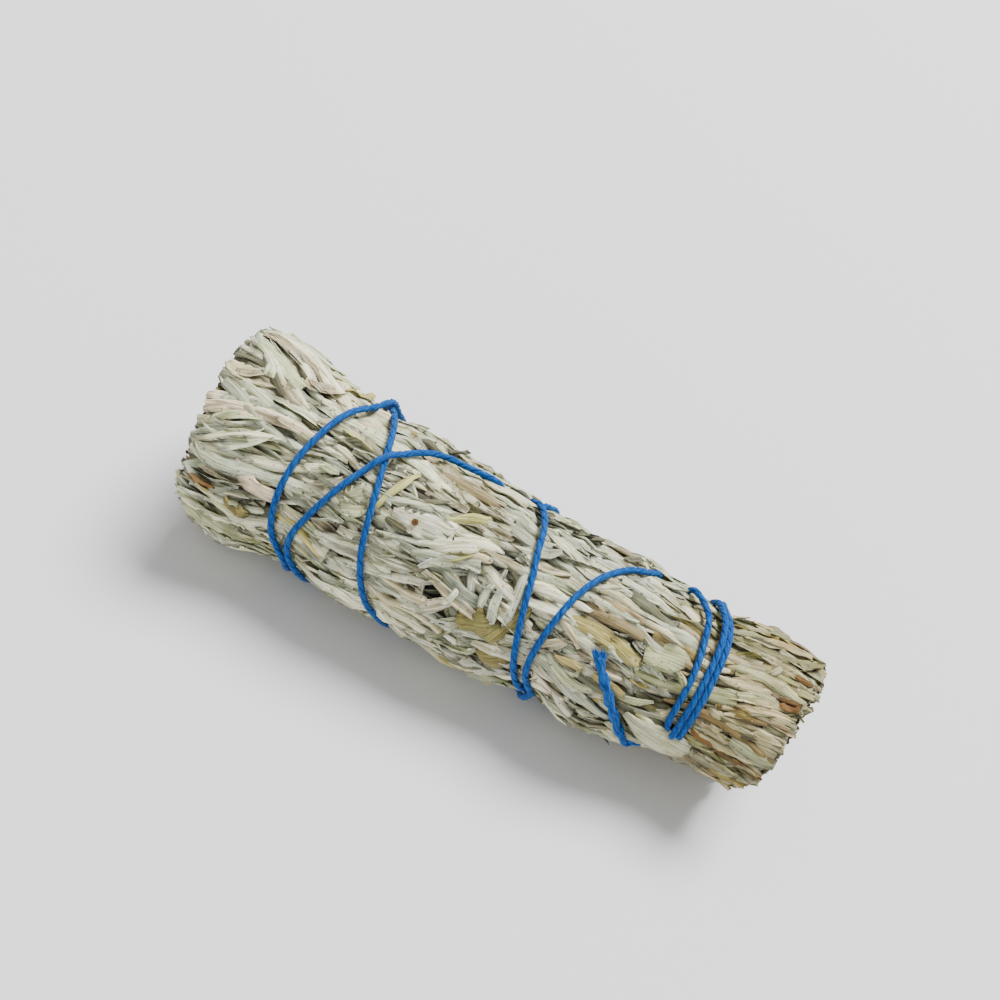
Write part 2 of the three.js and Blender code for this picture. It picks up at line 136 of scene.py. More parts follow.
class Finish:
    """A material with one main shader, and the nodes that feed it. A Mix node has sockets for
    numbers, vectors and colours: its share and its two colours are the ones given here."""

    MIX_INPUTS = (0, 6, 7)
    MIX_OUTPUT = 2

    def __init__(self, name, roughness, **fixed):
        self.material = bpy.data.materials.new(name)
        self.material.use_nodes = True
        self.nodes = self.material.node_tree.nodes
        self.shader = self.nodes["Principled BSDF"]
        self.shader.inputs["Roughness"].default_value = roughness
        self.shader.inputs["Specular IOR Level"].default_value = fixed.get("specular", 0.25)
        self.shader.inputs["Sheen Weight"].default_value = fixed.get("sheen", 0.0)
        self.shader.inputs["Sheen Roughness"].default_value = 0.5

    def feed(self, socket, value):
        if isinstance(value, Value):
            self.material.node_tree.links.new(value.socket, socket)
        else:
            socket.default_value = value

    def node(self, kind, settings, *sockets, **named):
        """A node of that type: its settings first, then its sockets in order or by name."""
        made = self.nodes.new(kind)
        for key, value in settings.items():
            setattr(made, key, value)
        for socket, value in zip(made.inputs, sockets):
            self.feed(socket, value)
        for name, value in named.items():
            self.feed(made.inputs[name], value)
        return {o.name: Value(self, o) for o in made.outputs if o.enabled}

    def mix(self, share, first, second, blend="MIX"):
        """The first colour where share is 0 and the second where it is 1."""
        made = self.nodes.new("ShaderNodeMix")
        made.data_type = "RGBA"
        made.blend_type = blend
        for number, value in zip(self.MIX_INPUTS, (share, first, second)):
            self.feed(made.inputs[number], value)
        return Value(self, made.outputs[self.MIX_OUTPUT])

    def shaped(self, base, height, depth, strength):
        """Ends the material: its base colour, and a bump of that depth in metres."""
        bump = self.node("ShaderNodeBump", {}, strength, depth, Height=height)
        self.feed(self.shader.inputs["Base Color"], base)
        self.feed(self.shader.inputs["Normal"], bump["Normal"])
        return self.material


def new_piece(name, points, faces, material):
    """A mesh from points in metres and a list of face tables, one row of corners a face."""
    mesh = bpy.data.meshes.new(name)
    corners = np.concatenate([table.ravel() for table in faces]).astype(np.int32)
    sizes = np.concatenate([np.full(len(table), table.shape[1]) for table in faces])
    starts = np.concatenate([[0], np.cumsum(sizes)[:-1]]).astype(np.int32)
    mesh.vertices.add(len(points))
    mesh.loops.add(len(corners))
    mesh.polygons.add(len(sizes))
    mesh.vertices.foreach_set("co", points.astype(np.float32).ravel())
    mesh.loops.foreach_set("vertex_index", corners)
    mesh.polygons.foreach_set("loop_start", starts)
    mesh.polygons.foreach_set("use_smooth", np.ones(len(sizes), dtype=bool))
    mesh.update(calc_edges=True)
    mesh.materials.append(material)
    piece = bpy.data.objects.new(name, mesh)
    bpy.context.scene.collection.objects.link(piece)
    return piece


floor_finish = Finish("pale_dry_floor", 0.9, specular=0.1)
floor_finish.shader.inputs["Base Color"].default_value = FLOOR_COLOR
corner = FLOOR_HALF * np.array([[-1, -1, 0], [1, -1, 0], [1, 1, 0], [-1, 1, 0]])
floor = new_piece("floor", corner, [np.array([[0, 1, 2, 3]])], floor_finish.material)


# The twine is two-ply cotton cord, dyed blue. It is wound round the bundle in one length, from
# a knot low on the front to the broad end and back, with two close turns at the knot.
TO_METRES = 0.001
LOWEST_POINT = 0.03
HIGHEST_POINT = 36.75
HALF_WIDTH = 19.75
PRESSED_SOFTLY = 0.22
MIDDLE_SHIFT = np.array([-2.2573, 0.0937, 0.0])
STATION_X = np.array([-58, -49, -34, -18, 0, 14, 24, 34, 42, 52, 64.0])
STATION_RADIUS = np.array([18.6, 19.3, 17.3, 18.2, 17.7, 16.6, 17.5, 16.0, 14.5, 15.2, 15.6])
OUT_OF_ROUND = 0.011
SETTLED_X = np.array([-54, -44, -30, -12, 4, 12, 19, 26, 34, 41, 47, 56.0])
SETTLED_TOP = np.array([1.2, 0.3, -0.4, -2.3, -2.0, -1.3, -1.9, -1.9, -0.7, 0.4, 0.8, 0.7])
SETTLED_LOW = np.array([-1.4, -0.1, 0.2, -0.5, 0.8, 0.4, -1.8, -0.4, -0.5, -2.4, -3.8, -3.2])
SETTLED_TOP_AT = 125
SETTLED_TOP_REACH = 80
SETTLED_LOW_AT = -35
SETTLED_LOW_REACH = 60
AXIS_HEIGHT = 15.5
AXIS_SLOPE = -0.0247
MIDDLE_RADIUS = 17.7
TWINE_LOWEST = 1.05
CROSSING_RISE = 1.1
CROSSING_SINK = 0.3
CROSSING_REACH = 3.6
CROSSING_LONGEST = 8.0
PLY_APART = 0.225
PLY_RADIUS = 0.375
PLY_FLATNESS = 1.5
TWINE_LAY = 5.4
TWINE_STEP = 0.5
PLY_SIDES = 8
KNOT_X = 44.4
KNOT_DEGREES = -25.0
KNOT_HALF = np.array([1.0, 1.35, 0.5])
KNOT_RISE = -1.5
KNOT_POINTS = 60
KNOT_LENGTH = 14
KNOT_LAY = 5
KNOT_START = 0.4
BURIED_BY = 1.5
BURIED = [
    ((35.0, 38.0, 60.0, 62.0), (-78, -62, 9, 15)),
    ((-4.6, -2.0, 0.4, 1.8), (116, 121, 150, 165)),
    ((27.0, 28.5, 33.0, 34.5), (121, 127, 150, 165)),
]
FIFTH_TURN_BURIED = [
    ((-4.6, -2.0, 3.0, 4.0), (1538, 1544, 1574, 1582)),
    ((6.0, 7.4, 12.0, 13.0), (1574, 1582, 1640, 1660)),
]
BRIDGED_BY = 0.8
BRIDGED = [
    ((-26.0, -17.0, -6.0, -3.0), (1505, 1520, 1556, 1562)),
    ((1.4, 2.9, 7.0, 9.5), (425, 450, 480, 494)),
    ((-34.0, -29.0, -22.0, -19.0), (780, 805, 850, 870)),
    ((-36.0, -34.0, -28.0, -26.0), (1140, 1165, 1205, 1225)),
    ((38.0, 39.5, 44.0, 46.0), (2225, 2250, 2290, 2310)),
    ((31.0, 34.0, 38.5, 40.0), (80, 100, 120, 135)),
    ((38.0, 39.5, 44.0, 46.0), (2585, 2610, 2655, 2680)),
]
TAIL_LAY = 7.4
TAIL_RISE = 0.75
TAIL_APART = 0.50
TAIL_STEP = 0.4
TAIL_UNEVEN = 1.1
TAIL_SINKS_FROM = 36.4
TAIL_SINKS_OVER = 4.5
TWINE_ROUTE = np.array([
    # from the knot up the front, and round the slim end
    [44.3, -24], [43.2, -9], [41.6, 7], [40.1, 22], [39.9, 36], [39.9, 50], [39.6, 67],
    [39.0, 84], [37.9, 101], [35.2, 116], [31.2, 137], [27.2, 170], [23.8, 225], [20.9, 280],
    [18.4, 315], [16.8, 331],
    # second turn
    [15.1, 344], [13.3, 359], [11.7, 375], [10.3, 392], [9.2, 406], [8.2, 421], [6.9, 437],
    [5.8, 455], [4.3, 470], [1.5, 488], [-3.6, 535], [-7.6, 610], [-10.2, 665],
    # third turn
    [-12.6, 696], [-15.0, 711], [-17.0, 727], [-19.0, 745], [-20.5, 764], [-22.0, 783],
    [-23.6, 801], [-25.2, 819], [-27.3, 838], [-31.0, 870], [-32.2, 920], [-31.9, 990],
    [-31.8, 1040],
    # fourth turn, nearest the broad end
    [-32.0, 1062], [-33.4, 1073], [-35.0, 1083], [-36.2, 1102], [-36.4, 1122],
    [-35.9, 1138], [-34.7, 1156], [-32.8, 1176], [-29.6, 1200], [-27.2, 1240],
    [-26.4, 1310], [-27.4, 1385],
    # fifth turn, which starts back towards the knot
    [-29.1, 1414], [-31.3, 1433], [-31.7, 1449], [-29.6, 1473], [-26.2, 1500],
    [-21.8, 1524], [-15.6, 1544], [-8.5, 1553], [-2.0, 1558], [4.0, 1572], [9.2, 1615],
    [12.6, 1690], [14.4, 1740],
    # sixth turn
    [16.9, 1771], [17.6, 1781], [16.6, 1790], [15.3, 1801], [14.6, 1811], [14.4, 1826],
    [15.0, 1846], [16.2, 1864], [18.6, 1884], [22.2, 1902], [26.0, 1915], [30.2, 1942],
    [34.6, 1990], [38.4, 2050], [41.0, 2110],
    # first close turn
    [41.6, 2150], [41.8, 2178], [42.0, 2200], [42.0, 2222], [41.9, 2244], [41.2, 2264],
    [39.9, 2282], [38.9, 2305], [40.2, 2350], [42.2, 2410], [42.9, 2470],
    # second close turn, back to the knot
    [43.0, 2510], [43.0, 2538], [43.2, 2560], [43.2, 2582], [43.0, 2604], [42.1, 2624],
    [40.5, 2642], [40.8, 2672], [43.2, 2730], [44.4, 2790], [44.9, 2838], [44.5, 2854],
])
TAIL_ROUTE = np.array([
    [44.0, -24], [42.0, -18], [39.4, -12], [36.4, -7], [34.0, 1], [31.8, 11], [29.9, 19],
    [28.0, 27], [26.0, 34], [24.0, 42],
])
HAIRS = 420
HAIR_LENGTHS = (0.5, 1.3)
HAIR_RADIUS = 0.018
HAIR_BEND = 0.5
HAIR_ROOTS_OUT = 0.54
FRAY_STRANDS = 34
FRAY_SPREAD = 0.11
FRAY_LEANS = (0.36, -0.30)
FRAY_DROP = 0.12
FRAY_ROOTS_BACK = 0.5
FRAY_ROOTS_APART = 0.42
FRAY_LENGTHS = (1.1, 1.9)
FRAY_RADIUS = 0.12
FRAY_BEND = 0.16
TWINE_BLUE = (0.010, 0.110, 0.400, 1)
TWINE_DARK = (0.002, 0.030, 0.140, 1)
TWINE_LIGHT = (0.060, 0.290, 0.700, 1)


def settled(x, degrees):
    """How far the loose leaves stand over or under the pressed form: by a smooth line along X
    for the upper back, and one for the lower front, each fading out round the bundle."""
    top = np.interp(x, SETTLED_X, SETTLED_TOP)
    low = np.interp(x, SETTLED_X, SETTLED_LOW)
    off_top = (degrees - SETTLED_TOP_AT + 180) % 360 - 180
    off_low = (degrees - SETTLED_LOW_AT + 180) % 360 - 180
    top_turn = np.clip(off_top, -SETTLED_TOP_REACH, SETTLED_TOP_REACH) * 90 / SETTLED_TOP_REACH
    low_turn = np.clip(off_low, -SETTLED_LOW_REACH, SETTLED_LOW_REACH) * 90 / SETTLED_LOW_REACH
    return top * np.cos(np.radians(top_turn)) ** 2 + low * np.cos(np.radians(low_turn)) ** 2


def buried(x, degrees, stretches=BURIED):
    """1 where the knot and other short stretches are pushed in under the leaves, and 0 away
    from there: a ramp in and out of a stretch along X times one of a stretch of degrees."""
    turn = (degrees + 180) % 360 - 180 if stretches is BURIED else degrees
    shares = [np.interp(x, along, [0, 1, 1, 0]) * np.interp(turn, round_it, [0, 1, 1, 0])
              for along, round_it in stretches]
    return np.max(shares, axis=0)


def surface_radius(x, degrees):
    """The leaves' outer radius: eased by half a cosine between the stations, times a slow
    wave of two and of three lobes round the bundle."""
    i = np.clip(np.searchsorted(STATION_X, x) - 1, 0, len(STATION_X) - 2)
    share = np.clip((x - STATION_X[i]) / (STATION_X[i + 1] - STATION_X[i]), 0, 1)
    eased = 0.5 - 0.5 * np.cos(np.pi * share)
    plain = STATION_RADIUS[i] + (STATION_RADIUS[i + 1] - STATION_RADIUS[i]) * eased
    a = np.radians(degrees)
    lobes = np.sin(2 * a + 0.6) + 0.7 * np.sin(3 * a + 0.05 * x)
    return plain * (1 + OUT_OF_ROUND * lobes) + settled(x, degrees)


def place(x, degrees, r):
    """The point at x along, degrees round and r mm out from the bundle's middle line."""
    a = np.radians(degrees)
    height = AXIS_HEIGHT + AXIS_SLOPE * x + r * np.sin(a)
    return np.stack([x + 0 * r, -r * np.cos(a), height], axis=-1) + MIDDLE_SHIFT


def outward(degrees):
    """The direction straight out from the bundle's middle line."""
    a = np.radians(degrees)
    return np.stack([0 * a, -np.cos(a), np.sin(a)], axis=-1)


def unit(v):
    return v / np.linalg.norm(v, axis=-1, keepdims=True)


def smooth_line(stations, step):
    """A centripetal Catmull-Rom curve through stations (x, degrees), laid out flat at the
    bundle's middle radius, and points on it one step apart. Returns x, degrees, along."""
    flat = stations * [1, math.radians(1) * MIDDLE_RADIUS]
    p = np.vstack([2 * flat[0] - flat[1], flat, 2 * flat[-1] - flat[-2]])
    gap = np.sqrt(np.linalg.norm(np.diff(p, axis=0), axis=1))[:, None]
    a, b, c = gap[:-2], gap[1:-1], gap[2:]
    p0, p1, p2, p3 = p[:-3], p[1:-2], p[2:-1], p[3:]
    leave = ((p1 - p0) / a - (p2 - p0) / (a + b) + (p2 - p1) / b) * b
    arrive = ((p2 - p1) / b - (p3 - p1) / (b + c) + (p3 - p2) / c) * b
    t = np.linspace(0, 1, 40, endpoint=False)[:, None, None]
    curve = (
        (2 * t**3 - 3 * t**2 + 1) * p1
        + (t**3 - 2 * t**2 + t) * leave
        + (3 * t**2 - 2 * t**3) * p2
        + (t**3 - t**2) * arrive
    )
    curve = np.vstack([curve.transpose(1, 0, 2).reshape(-1, 2), flat[-1]])
    run = np.concatenate([[0], np.cumsum(np.linalg.norm(np.diff(curve, axis=0), axis=1))])
    along = np.linspace(0, run[-1], math.ceil(run[-1] / step) + 1)
    x, arc = (np.interp(along, run, curve[:, axis]) for axis in (0, 1))
    return x, np.degrees(arc / MIDDLE_RADIUS), along


def crossings(x, degrees, along):
    """Where a later stretch of the route crosses an earlier one, on 1 mm stations: the
    distances along both, and the sine of the angle between the two."""
    arc = np.radians(degrees) * MIDDLE_RADIUS
    turn = 2 * np.pi * MIDDLE_RADIUS
    px, py = np.diff(x)[:, None], np.diff(arc)[:, None]
    qx, qy = px.T, py.T
    dx = x[None, :-1] - x[:-1, None]
    dy = arc[None, :-1] - arc[:-1, None]
    dy = dy - np.round(dy / turn) * turn
    cross = px * qy - py * qx + 1e-12
    s = (dx * qy - dy * qx) / cross
    t = (dx * py - dy * px) / cross
    later, earlier = np.nonzero((s >= 0) & (s < 1) & (t >= 0) & (t < 1) & (np.hypot(dx, dy) < 3))
    kept = later - earlier > 20
    later, earlier = later[kept], earlier[kept]
    length = np.hypot(px, py)[:, 0]
    sine = np.abs(cross[later, earlier]) / length[later] / length[earlier]
    return along[later], along[earlier], sine


def directions(line, out):
    """The unit directions along a line, across it, and outward but square to it."""
    ahead = unit(np.gradient(line, axis=-2))
    across = unit(np.cross(out, ahead))
    return ahead, across, np.cross(ahead, across)


def tube_rings(line, across, out, radius, sides, flatness=1.0):
    """Rings of points round a line: radius times the cosine across and the sine outward,
    with the ring flatness times as wide across as it is high."""
    angle = 2 * np.pi * np.arange(sides) / sides
    ring = -flatness * np.cos(angle)[:, None] * across[..., None, :]
    ring = ring + np.sin(angle)[:, None] * out[..., None, :]
    return line[..., None, :] + np.asarray(radius)[..., None, None] * ring


class Heap:
    """Collects closed tubes of rings for one mesh, with a colour and a grain for each point."""

    def __init__(self):
        self.points, self.faces, self.tints, self.grains = [], [], [], []
        self.count = 0

    def add(self, rings, tint, grain):
        """rings is copies by stations by sides by 3. Neighbouring rings are joined by quads,
        and each end ring is closed by quads from one side of it to the other."""
        copies, stations, sides = rings.shape[:3]
        at = np.arange(copies * stations * sides).reshape(copies, stations, sides) + self.count
        nxt = np.roll(at, -1, axis=2)
        walls = np.stack([at[:, :-1], at[:, 1:], nxt[:, 1:], nxt[:, :-1]], axis=-1)
        low = np.arange(sides // 2 - 1)
        strip = np.stack([low, low + 1, sides - 2 - low, sides - 1 - low], axis=-1)
        ends = np.concatenate([at[:, 0][:, strip], at[:, -1][:, strip[:, ::-1]]])
        self.faces += [walls.reshape(-1, 4), ends.reshape(-1, 4)]
        self.points.append(rings.reshape(-1, 3))
        self.tints.append(np.broadcast_to(tint, rings.shape).reshape(-1, 3))
        self.grains.append(np.broadcast_to(grain, rings.shape[:3] + (2,)).reshape(-1, 2))
        self.count += copies * stations * sides

    def piece(self, name, material):
        """The mesh, in metres, with the colours as 'tint' and the grain as its UV map. What
        would reach under the floor or over the highest leaf is pressed back to it."""
        points = np.concatenate(self.points)
        over = (points - [0, HALF_WIDTH, HIGHEST_POINT]) / PRESSED_SOFTLY
        under = (-points[:, 1] - HALF_WIDTH) / PRESSED_SOFTLY
        points[:, 1] -= PRESSED_SOFTLY * (np.logaddexp(0, over[:, 1]) - np.logaddexp(0, under))
        points[:, 2] -= PRESSED_SOFTLY * np.logaddexp(0, over[:, 2])
        points[:, 2] = np.maximum(points[:, 2], LOWEST_POINT)
        points = points * TO_METRES
        made = new_piece(name, points, self.faces, material)
        tint = np.ones((self.count, 4), dtype=np.float32)
        tint[:, :3] = np.concatenate(self.tints)
        layer = made.data.color_attributes.new("tint", "FLOAT_COLOR", "POINT")
        layer.data.foreach_set("color", tint.ravel())
        corners = np.concatenate([table.ravel() for table in self.faces])
        grain = np.concatenate(self.grains)[corners].astype(np.float32)
        made.data.uv_layers.new(name="grain").data.foreach_set("uv", grain.ravel())
        return made


def add_cord(heap, line, out, lay, start, along):
    """Two plies round a line: each is an oval tube, pressed flat against the other, whose
    middle turns round the line once in each lay, with its thickness a little uneven."""
    ahead, across, out = directions(line, out)
    for ply in (0, 1):
        turn = (2 * np.pi * along / lay + ply * np.pi + start)[:, None]
        away = np.cos(turn) * out + np.sin(turn) * across
        beside = np.cos(turn) * across - np.sin(turn) * out
        uneven = 1 + 0.05 * np.sin(along * 2.1 + ply) + 0.04 * np.sin(along * 5.3 + 2 * ply)
        rings = tube_rings(
            line + PLY_APART * away, beside, away, PLY_RADIUS * uneven, PLY_SIDES, PLY_FLATNESS
        )
        grain = np.empty((len(line), PLY_SIDES, 2))
        grain[..., 0] = along[:, None]
        grain[..., 1] = np.arange(PLY_SIDES) / PLY_SIDES + ply * 3.7 + along[:, None] / lay
        heap.add(rings[None], 1.0, grain[None])


def add_hairs(heap, roots, away, length, radius, bend, seed):
    """Thin fibres: each leaves its root along away and bends off by a random curve."""
    draw = np.random.default_rng(seed)
    count = len(roots)
    t = np.linspace(0, 1, 5)[None, :, None]
    side = unit(draw.normal(size=(count, 3)))[:, None]
    line = roots[:, None] + length[:, None, None] * (away[:, None] * t + bend * side * t**2)
    ahead, across, out = directions(line, unit(draw.normal(size=(count, 3)))[:, None] + 0 * line)
    thick = radius * (1 - 0.5 * t[..., 0]) + 0 * length[:, None]
    heap.add(tube_rings(line, across, out, thick, 4), 1.0, np.array([0.0, 0.0]))


twine_x, twine_degrees, twine_along = smooth_line(TWINE_ROUTE, TWINE_STEP)
over_at, under_at, crossed_sine = crossings(*smooth_line(TWINE_ROUTE, 1.0))
reach = np.minimum(CROSSING_LONGEST, CROSSING_REACH / crossed_sine)
over_share = np.minimum(1, np.abs(twine_along[:, None] - over_at) / reach)
under_share = np.minimum(1, np.abs(twine_along[:, None] - under_at) / reach)
hump = (CROSSING_RISE * (0.5 + 0.5 * np.cos(np.pi * over_share))).max(axis=1)
hump = hump - (CROSSING_SINK * (0.5 + 0.5 * np.cos(np.pi * under_share))).max(axis=1)
hidden = np.maximum(
    buried(twine_x, twine_degrees), buried(twine_x, twine_degrees, FIFTH_TURN_BURIED)
)
hump = hump * (1 - hidden) - BURIED_BY * hidden
hump = hump + BRIDGED_BY * buried(twine_x, twine_degrees, BRIDGED)
twine_radius = surface_radius(twine_x, twine_degrees)
twine_line = place(twine_x, twine_degrees, twine_radius + hump)
twine_line[:, 2] = np.maximum(twine_line[:, 2], TWINE_LOWEST)
twine_heap = Heap()
add_cord(twine_heap, twine_line, outward(twine_degrees), TWINE_LAY, 0.0, twine_along)

knot_t = np.linspace(0, 2 * np.pi, KNOT_POINTS)
knot_loop = np.stack([
    (np.sin(knot_t) + 2 * np.sin(2 * knot_t)) / 3,
    (np.cos(knot_t) - 2 * np.cos(2 * knot_t)) / 3,
    -np.sin(3 * knot_t),
], axis=-1) * KNOT_HALF
knot_out = outward(KNOT_DEGREES)
knot_round = np.cross(knot_out, [1.0, 0, 0])
knot_middle = place(
    np.array(KNOT_X), KNOT_DEGREES, surface_radius(np.array(KNOT_X), KNOT_DEGREES) + KNOT_RISE
)
knot_line = knot_middle + knot_loop @ np.array([[1.0, 0, 0], knot_round, knot_out])
knot_along = np.linspace(0, KNOT_LENGTH, KNOT_POINTS)
knot_away = knot_out + 0.3 * (knot_line - knot_middle)
add_cord(twine_heap, knot_line, knot_away, KNOT_LAY, KNOT_START, knot_along)

tail_x, tail_degrees, tail_along = smooth_line(TAIL_ROUTE, TAIL_STEP)
fray = np.random.default_rng(31)
for end in (0, 1):
    kept = tail_along < tail_along[-1] - TAIL_UNEVEN * end + 0.01
    x, degrees, along = tail_x[kept], tail_degrees[kept], tail_along[kept]
    under = np.clip((x - TAIL_SINKS_FROM) / TAIL_SINKS_OVER, 0, 1)
    turn = along / TAIL_LAY * 2 * np.pi + end * np.pi
    out_by = TAIL_RISE - (TAIL_RISE + BURIED_BY) * under + TAIL_APART * np.cos(turn)
    aside_by = np.degrees(TAIL_APART * np.sin(turn) / surface_radius(x, 0 * x))
    line = place(x, degrees + aside_by, surface_radius(x, degrees) + out_by)
    add_cord(twine_heap, line, outward(degrees), TWINE_LAY, 1.1 * end, along)
    last_ahead = unit(line[-1] - line[-3])
    across = np.cross(outward(degrees[-1]), last_ahead)
    spread = fray.normal(size=(FRAY_STRANDS, 3)) * FRAY_SPREAD
    lean = FRAY_LEANS[end] * across - FRAY_DROP * outward(degrees[-1])
    away = unit(last_ahead + spread + lean)
    apart = fray.uniform(-FRAY_ROOTS_APART, FRAY_ROOTS_APART, (FRAY_STRANDS, 3))
    roots = line[-1] - FRAY_ROOTS_BACK * last_ahead + apart
    length = fray.uniform(*FRAY_LENGTHS, FRAY_STRANDS)
    add_hairs(twine_heap, roots, away, length, FRAY_RADIUS, FRAY_BEND, 40 + end)

hairs = np.random.default_rng(53)
chosen = hairs.integers(4, len(twine_line) - 4, HAIRS)
hair_ahead, hair_across, hair_out = directions(twine_line, outward(twine_degrees))
lean = hairs.normal(size=(3, HAIRS, 1))
hair_away = unit(
    1.3 * lean[0] * hair_ahead[chosen] + lean[1] * hair_across[chosen]
    + 0.45 * np.abs(lean[2]) * hair_out[chosen]
)
hair_roots = twine_line[chosen] + HAIR_ROOTS_OUT * unit(
    lean[1] * hair_across[chosen] + 0.6 * np.abs(lean[2]) * hair_out[chosen]
)
hair_length = hairs.uniform(*HAIR_LENGTHS, HAIRS)
add_hairs(twine_heap, hair_roots, hair_away, hair_length, HAIR_RADIUS, HAIR_BEND, 54)

twine_finish = Finish("blue_cotton_twine", 0.85, specular=0.12, sheen=0.08)
twine_uv = twine_finish.node("ShaderNodeUVMap", {"uv_map": "grain"})["UV"]
stretch = twine_finish.node(
    "ShaderNodeVectorMath", {"operation": "MULTIPLY"}, twine_uv, (0.55, 7.0, 1.0)
)["Vector"]
fibre = twine_finish.node(
    "ShaderNodeTexNoise", {}, Vector=stretch, Scale=1.6, Detail=5.0, Roughness=0.65
)["Fac"]
along_uv = twine_finish.node(
    "ShaderNodeVectorMath", {"operation": "MULTIPLY"}, twine_uv, (0.16, 0.4, 1.0)
)["Vector"]
slow = twine_finish.node("ShaderNodeTexNoise", {}, Vector=along_uv, Scale=1.0, Detail=2.0)["Fac"]
blue = twine_finish.mix(fibre.between(0.30, 0.62), TWINE_DARK, TWINE_BLUE)
blue = twine_finish.mix(fibre.between(0.55, 0.78) * slow.between(0.3, 0.7), blue, TWINE_LIGHT)
twine_cotton = twine_finish.shaped(blue, fibre, 0.00012, 0.9)
twine = twine_heap.piece("twine_two_ply", twine_cotton)
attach(twine, "root")
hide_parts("twine")


# Each of the ten outer sprigs is a pressed heart of stem and old leaves, with the loose leaves
# lying over it. The heart is a closed block that follows the sprig's two wandering sides.
OUTER_SPRIGS = 10
SPRIG_DEGREES = 36
SPRIG_SWAY = 3.5
SPRIG_TURN = 0.06
BROAD_END = -54.7
BROAD_END_SLANT = 1.9
BROAD_END_SLANT_AT = 0.0
TIED_END = 57.9
TIED_END_SLANT = 2.2
TIED_END_SLANT_AT = 125.0
INNER_RADIUS = 7.6
SPRIG_GAP = 0.3
HEART_DEPTH = 2.5
HEART_SHORT = 2.0
HEART_STATIONS = 118
HEART_ARC_POINTS = 13
HEART_OFF_FLOOR = 0.6
REST_HEIGHT = 0.12
DIP_UNDER_TWINE = 0.72
DIP_REACH = 1.9
DIP_WIDE = 0.22
DIP_WIDE_REACH = 5
TAIL_DIP = 0.5
TAIL_DIP_REACH = 2.2
ROOM_UNDER_TWINE = 1.9
ROOM_REACH = 1.7


def sprig_line(k, x):
    """The line between sprig k and the one before, in degrees: a slow sine plus a slow turn."""
    sway = SPRIG_SWAY * np.sin(x / 13 + 2.1 * (k % OUTER_SPRIGS))
    return k * SPRIG_DEGREES + sway + SPRIG_TURN * x


def broad_end(degrees):
    """Where the broad end is cut, a little shorter on its lower front."""
    slant = np.cos(np.radians(degrees - BROAD_END_SLANT_AT))
    return BROAD_END + BROAD_END_SLANT * np.maximum(0, slant)


def tied_end(degrees):
    """Where the slimmer end is cut, a little longer on its upper back side."""
    return TIED_END + TIED_END_SLANT * np.cos(np.radians(degrees - TIED_END_SLANT_AT))


CELL_X = 0.5
CELL_DEGREES = 1.6
GRID_X = np.arange(-62, 66, CELL_X)
GRID_DEGREES = np.arange(0, 360, CELL_DEGREES)


def cell(x, degrees):
    """The cell of the leaf map at x and degrees."""
    i = np.clip(np.round((x - GRID_X[0]) / CELL_X).astype(int), 0, len(GRID_X) - 1)
    return i, np.round(degrees / CELL_DEGREES).astype(int) % len(GRID_DEGREES)


def distance_to(x, degrees):
    """For each cell of the leaf map, the distance in mm to the nearest point of a line."""
    nearest = np.full((len(GRID_X), len(GRID_DEGREES)), 99.0)
    for k in range(0, len(x), 3):
        near = np.abs(GRID_X - x[k]) < 9
        turn = (GRID_DEGREES - degrees[k] + 180) % 360 - 180
        away = np.hypot(GRID_X[near, None] - x[k], np.radians(turn) * MIDDLE_RADIUS)
        nearest[near] = np.minimum(nearest[near], away)
    return nearest


to_twine = distance_to(twine_x, twine_degrees)
to_tail = distance_to(tail_x, tail_degrees)
dips = np.maximum(
    DIP_UNDER_TWINE * np.exp(-((to_twine / DIP_REACH) ** 2))
    + DIP_WIDE * np.exp(-((to_twine / DIP_WIDE_REACH) ** 2)),
    TAIL_DIP * np.exp(-((to_tail / TAIL_DIP_REACH) ** 2)),
)
dips = dips * (1 - buried(GRID_X[:, None], GRID_DEGREES))
lowest_cell = REST_HEIGHT + ROOM_UNDER_TWINE * np.exp(-((to_twine / ROOM_REACH) ** 2))


def add_heart(heap, sides, inner, outer, lowest, tint):
    """A closed block between two lines of degrees: rings of an outer arc and an inner arc,
    carried along X, with the outer arc waved by a few sines."""
    share = np.linspace(0, 1, HEART_ARC_POINTS)
    t = np.linspace(0, 1, HEART_STATIONS)[:, None]
    low, high = sides((BROAD_END + HEART_SHORT) * (1 - t) + (TIED_END - HEART_SHORT) * t)
    top = low + (high - low) * share
    ring_degrees = np.concatenate([top, top[:, ::-2][:, :-1], top[:, :1]], axis=1)
    ring_x = (broad_end(ring_degrees) + HEART_SHORT) * (1 - t)
    ring_x = ring_x + (tied_end(ring_degrees) - HEART_SHORT) * t
    x = ring_x[:, :HEART_ARC_POINTS]
    wave = 0.25 * np.sin(x * 1.3 + top * 0.21) + 0.2 * np.sin(x * 0.7 - top * 0.34 + 1)
    reach_out = outer(x, top) + wave
    inward = inner + 0 * ring_degrees[:, HEART_ARC_POINTS:]
    ring_out = np.concatenate([reach_out, inward], axis=1)
    rings = place(ring_x, ring_degrees, ring_out)
    rings[..., 2] = np.maximum(rings[..., 2], lowest)
    heap.add(rings[None], tint, np.array([0.0, 0.0]))


# The hearts are a near-black brown: the dull brown of stems and old leaves, darkened into painted
# shade so the gaps between the leaves over them look dark.
HEART_BROWN_AND_SHADE = np.array([0.050, 0.045, 0.026])
sprig_heaps = [Heap() for sprig in range(OUTER_SPRIGS)]
for k, heap in enumerate(sprig_heaps):
    half_gap = math.degrees(SPRIG_GAP / 2 / MIDDLE_RADIUS)
    add_heart(
        heap,
        lambda x, k=k: (sprig_line(k, x) + half_gap, sprig_line(k + 1, x) - half_gap),
        INNER_RADIUS + SPRIG_GAP,
        lambda x, degrees: surface_radius(x, degrees) - HEART_DEPTH - dips[cell(x, degrees)],
        REST_HEIGHT + HEART_OFF_FLOOR,
        HEART_BROWN_AND_SHADE,
    )


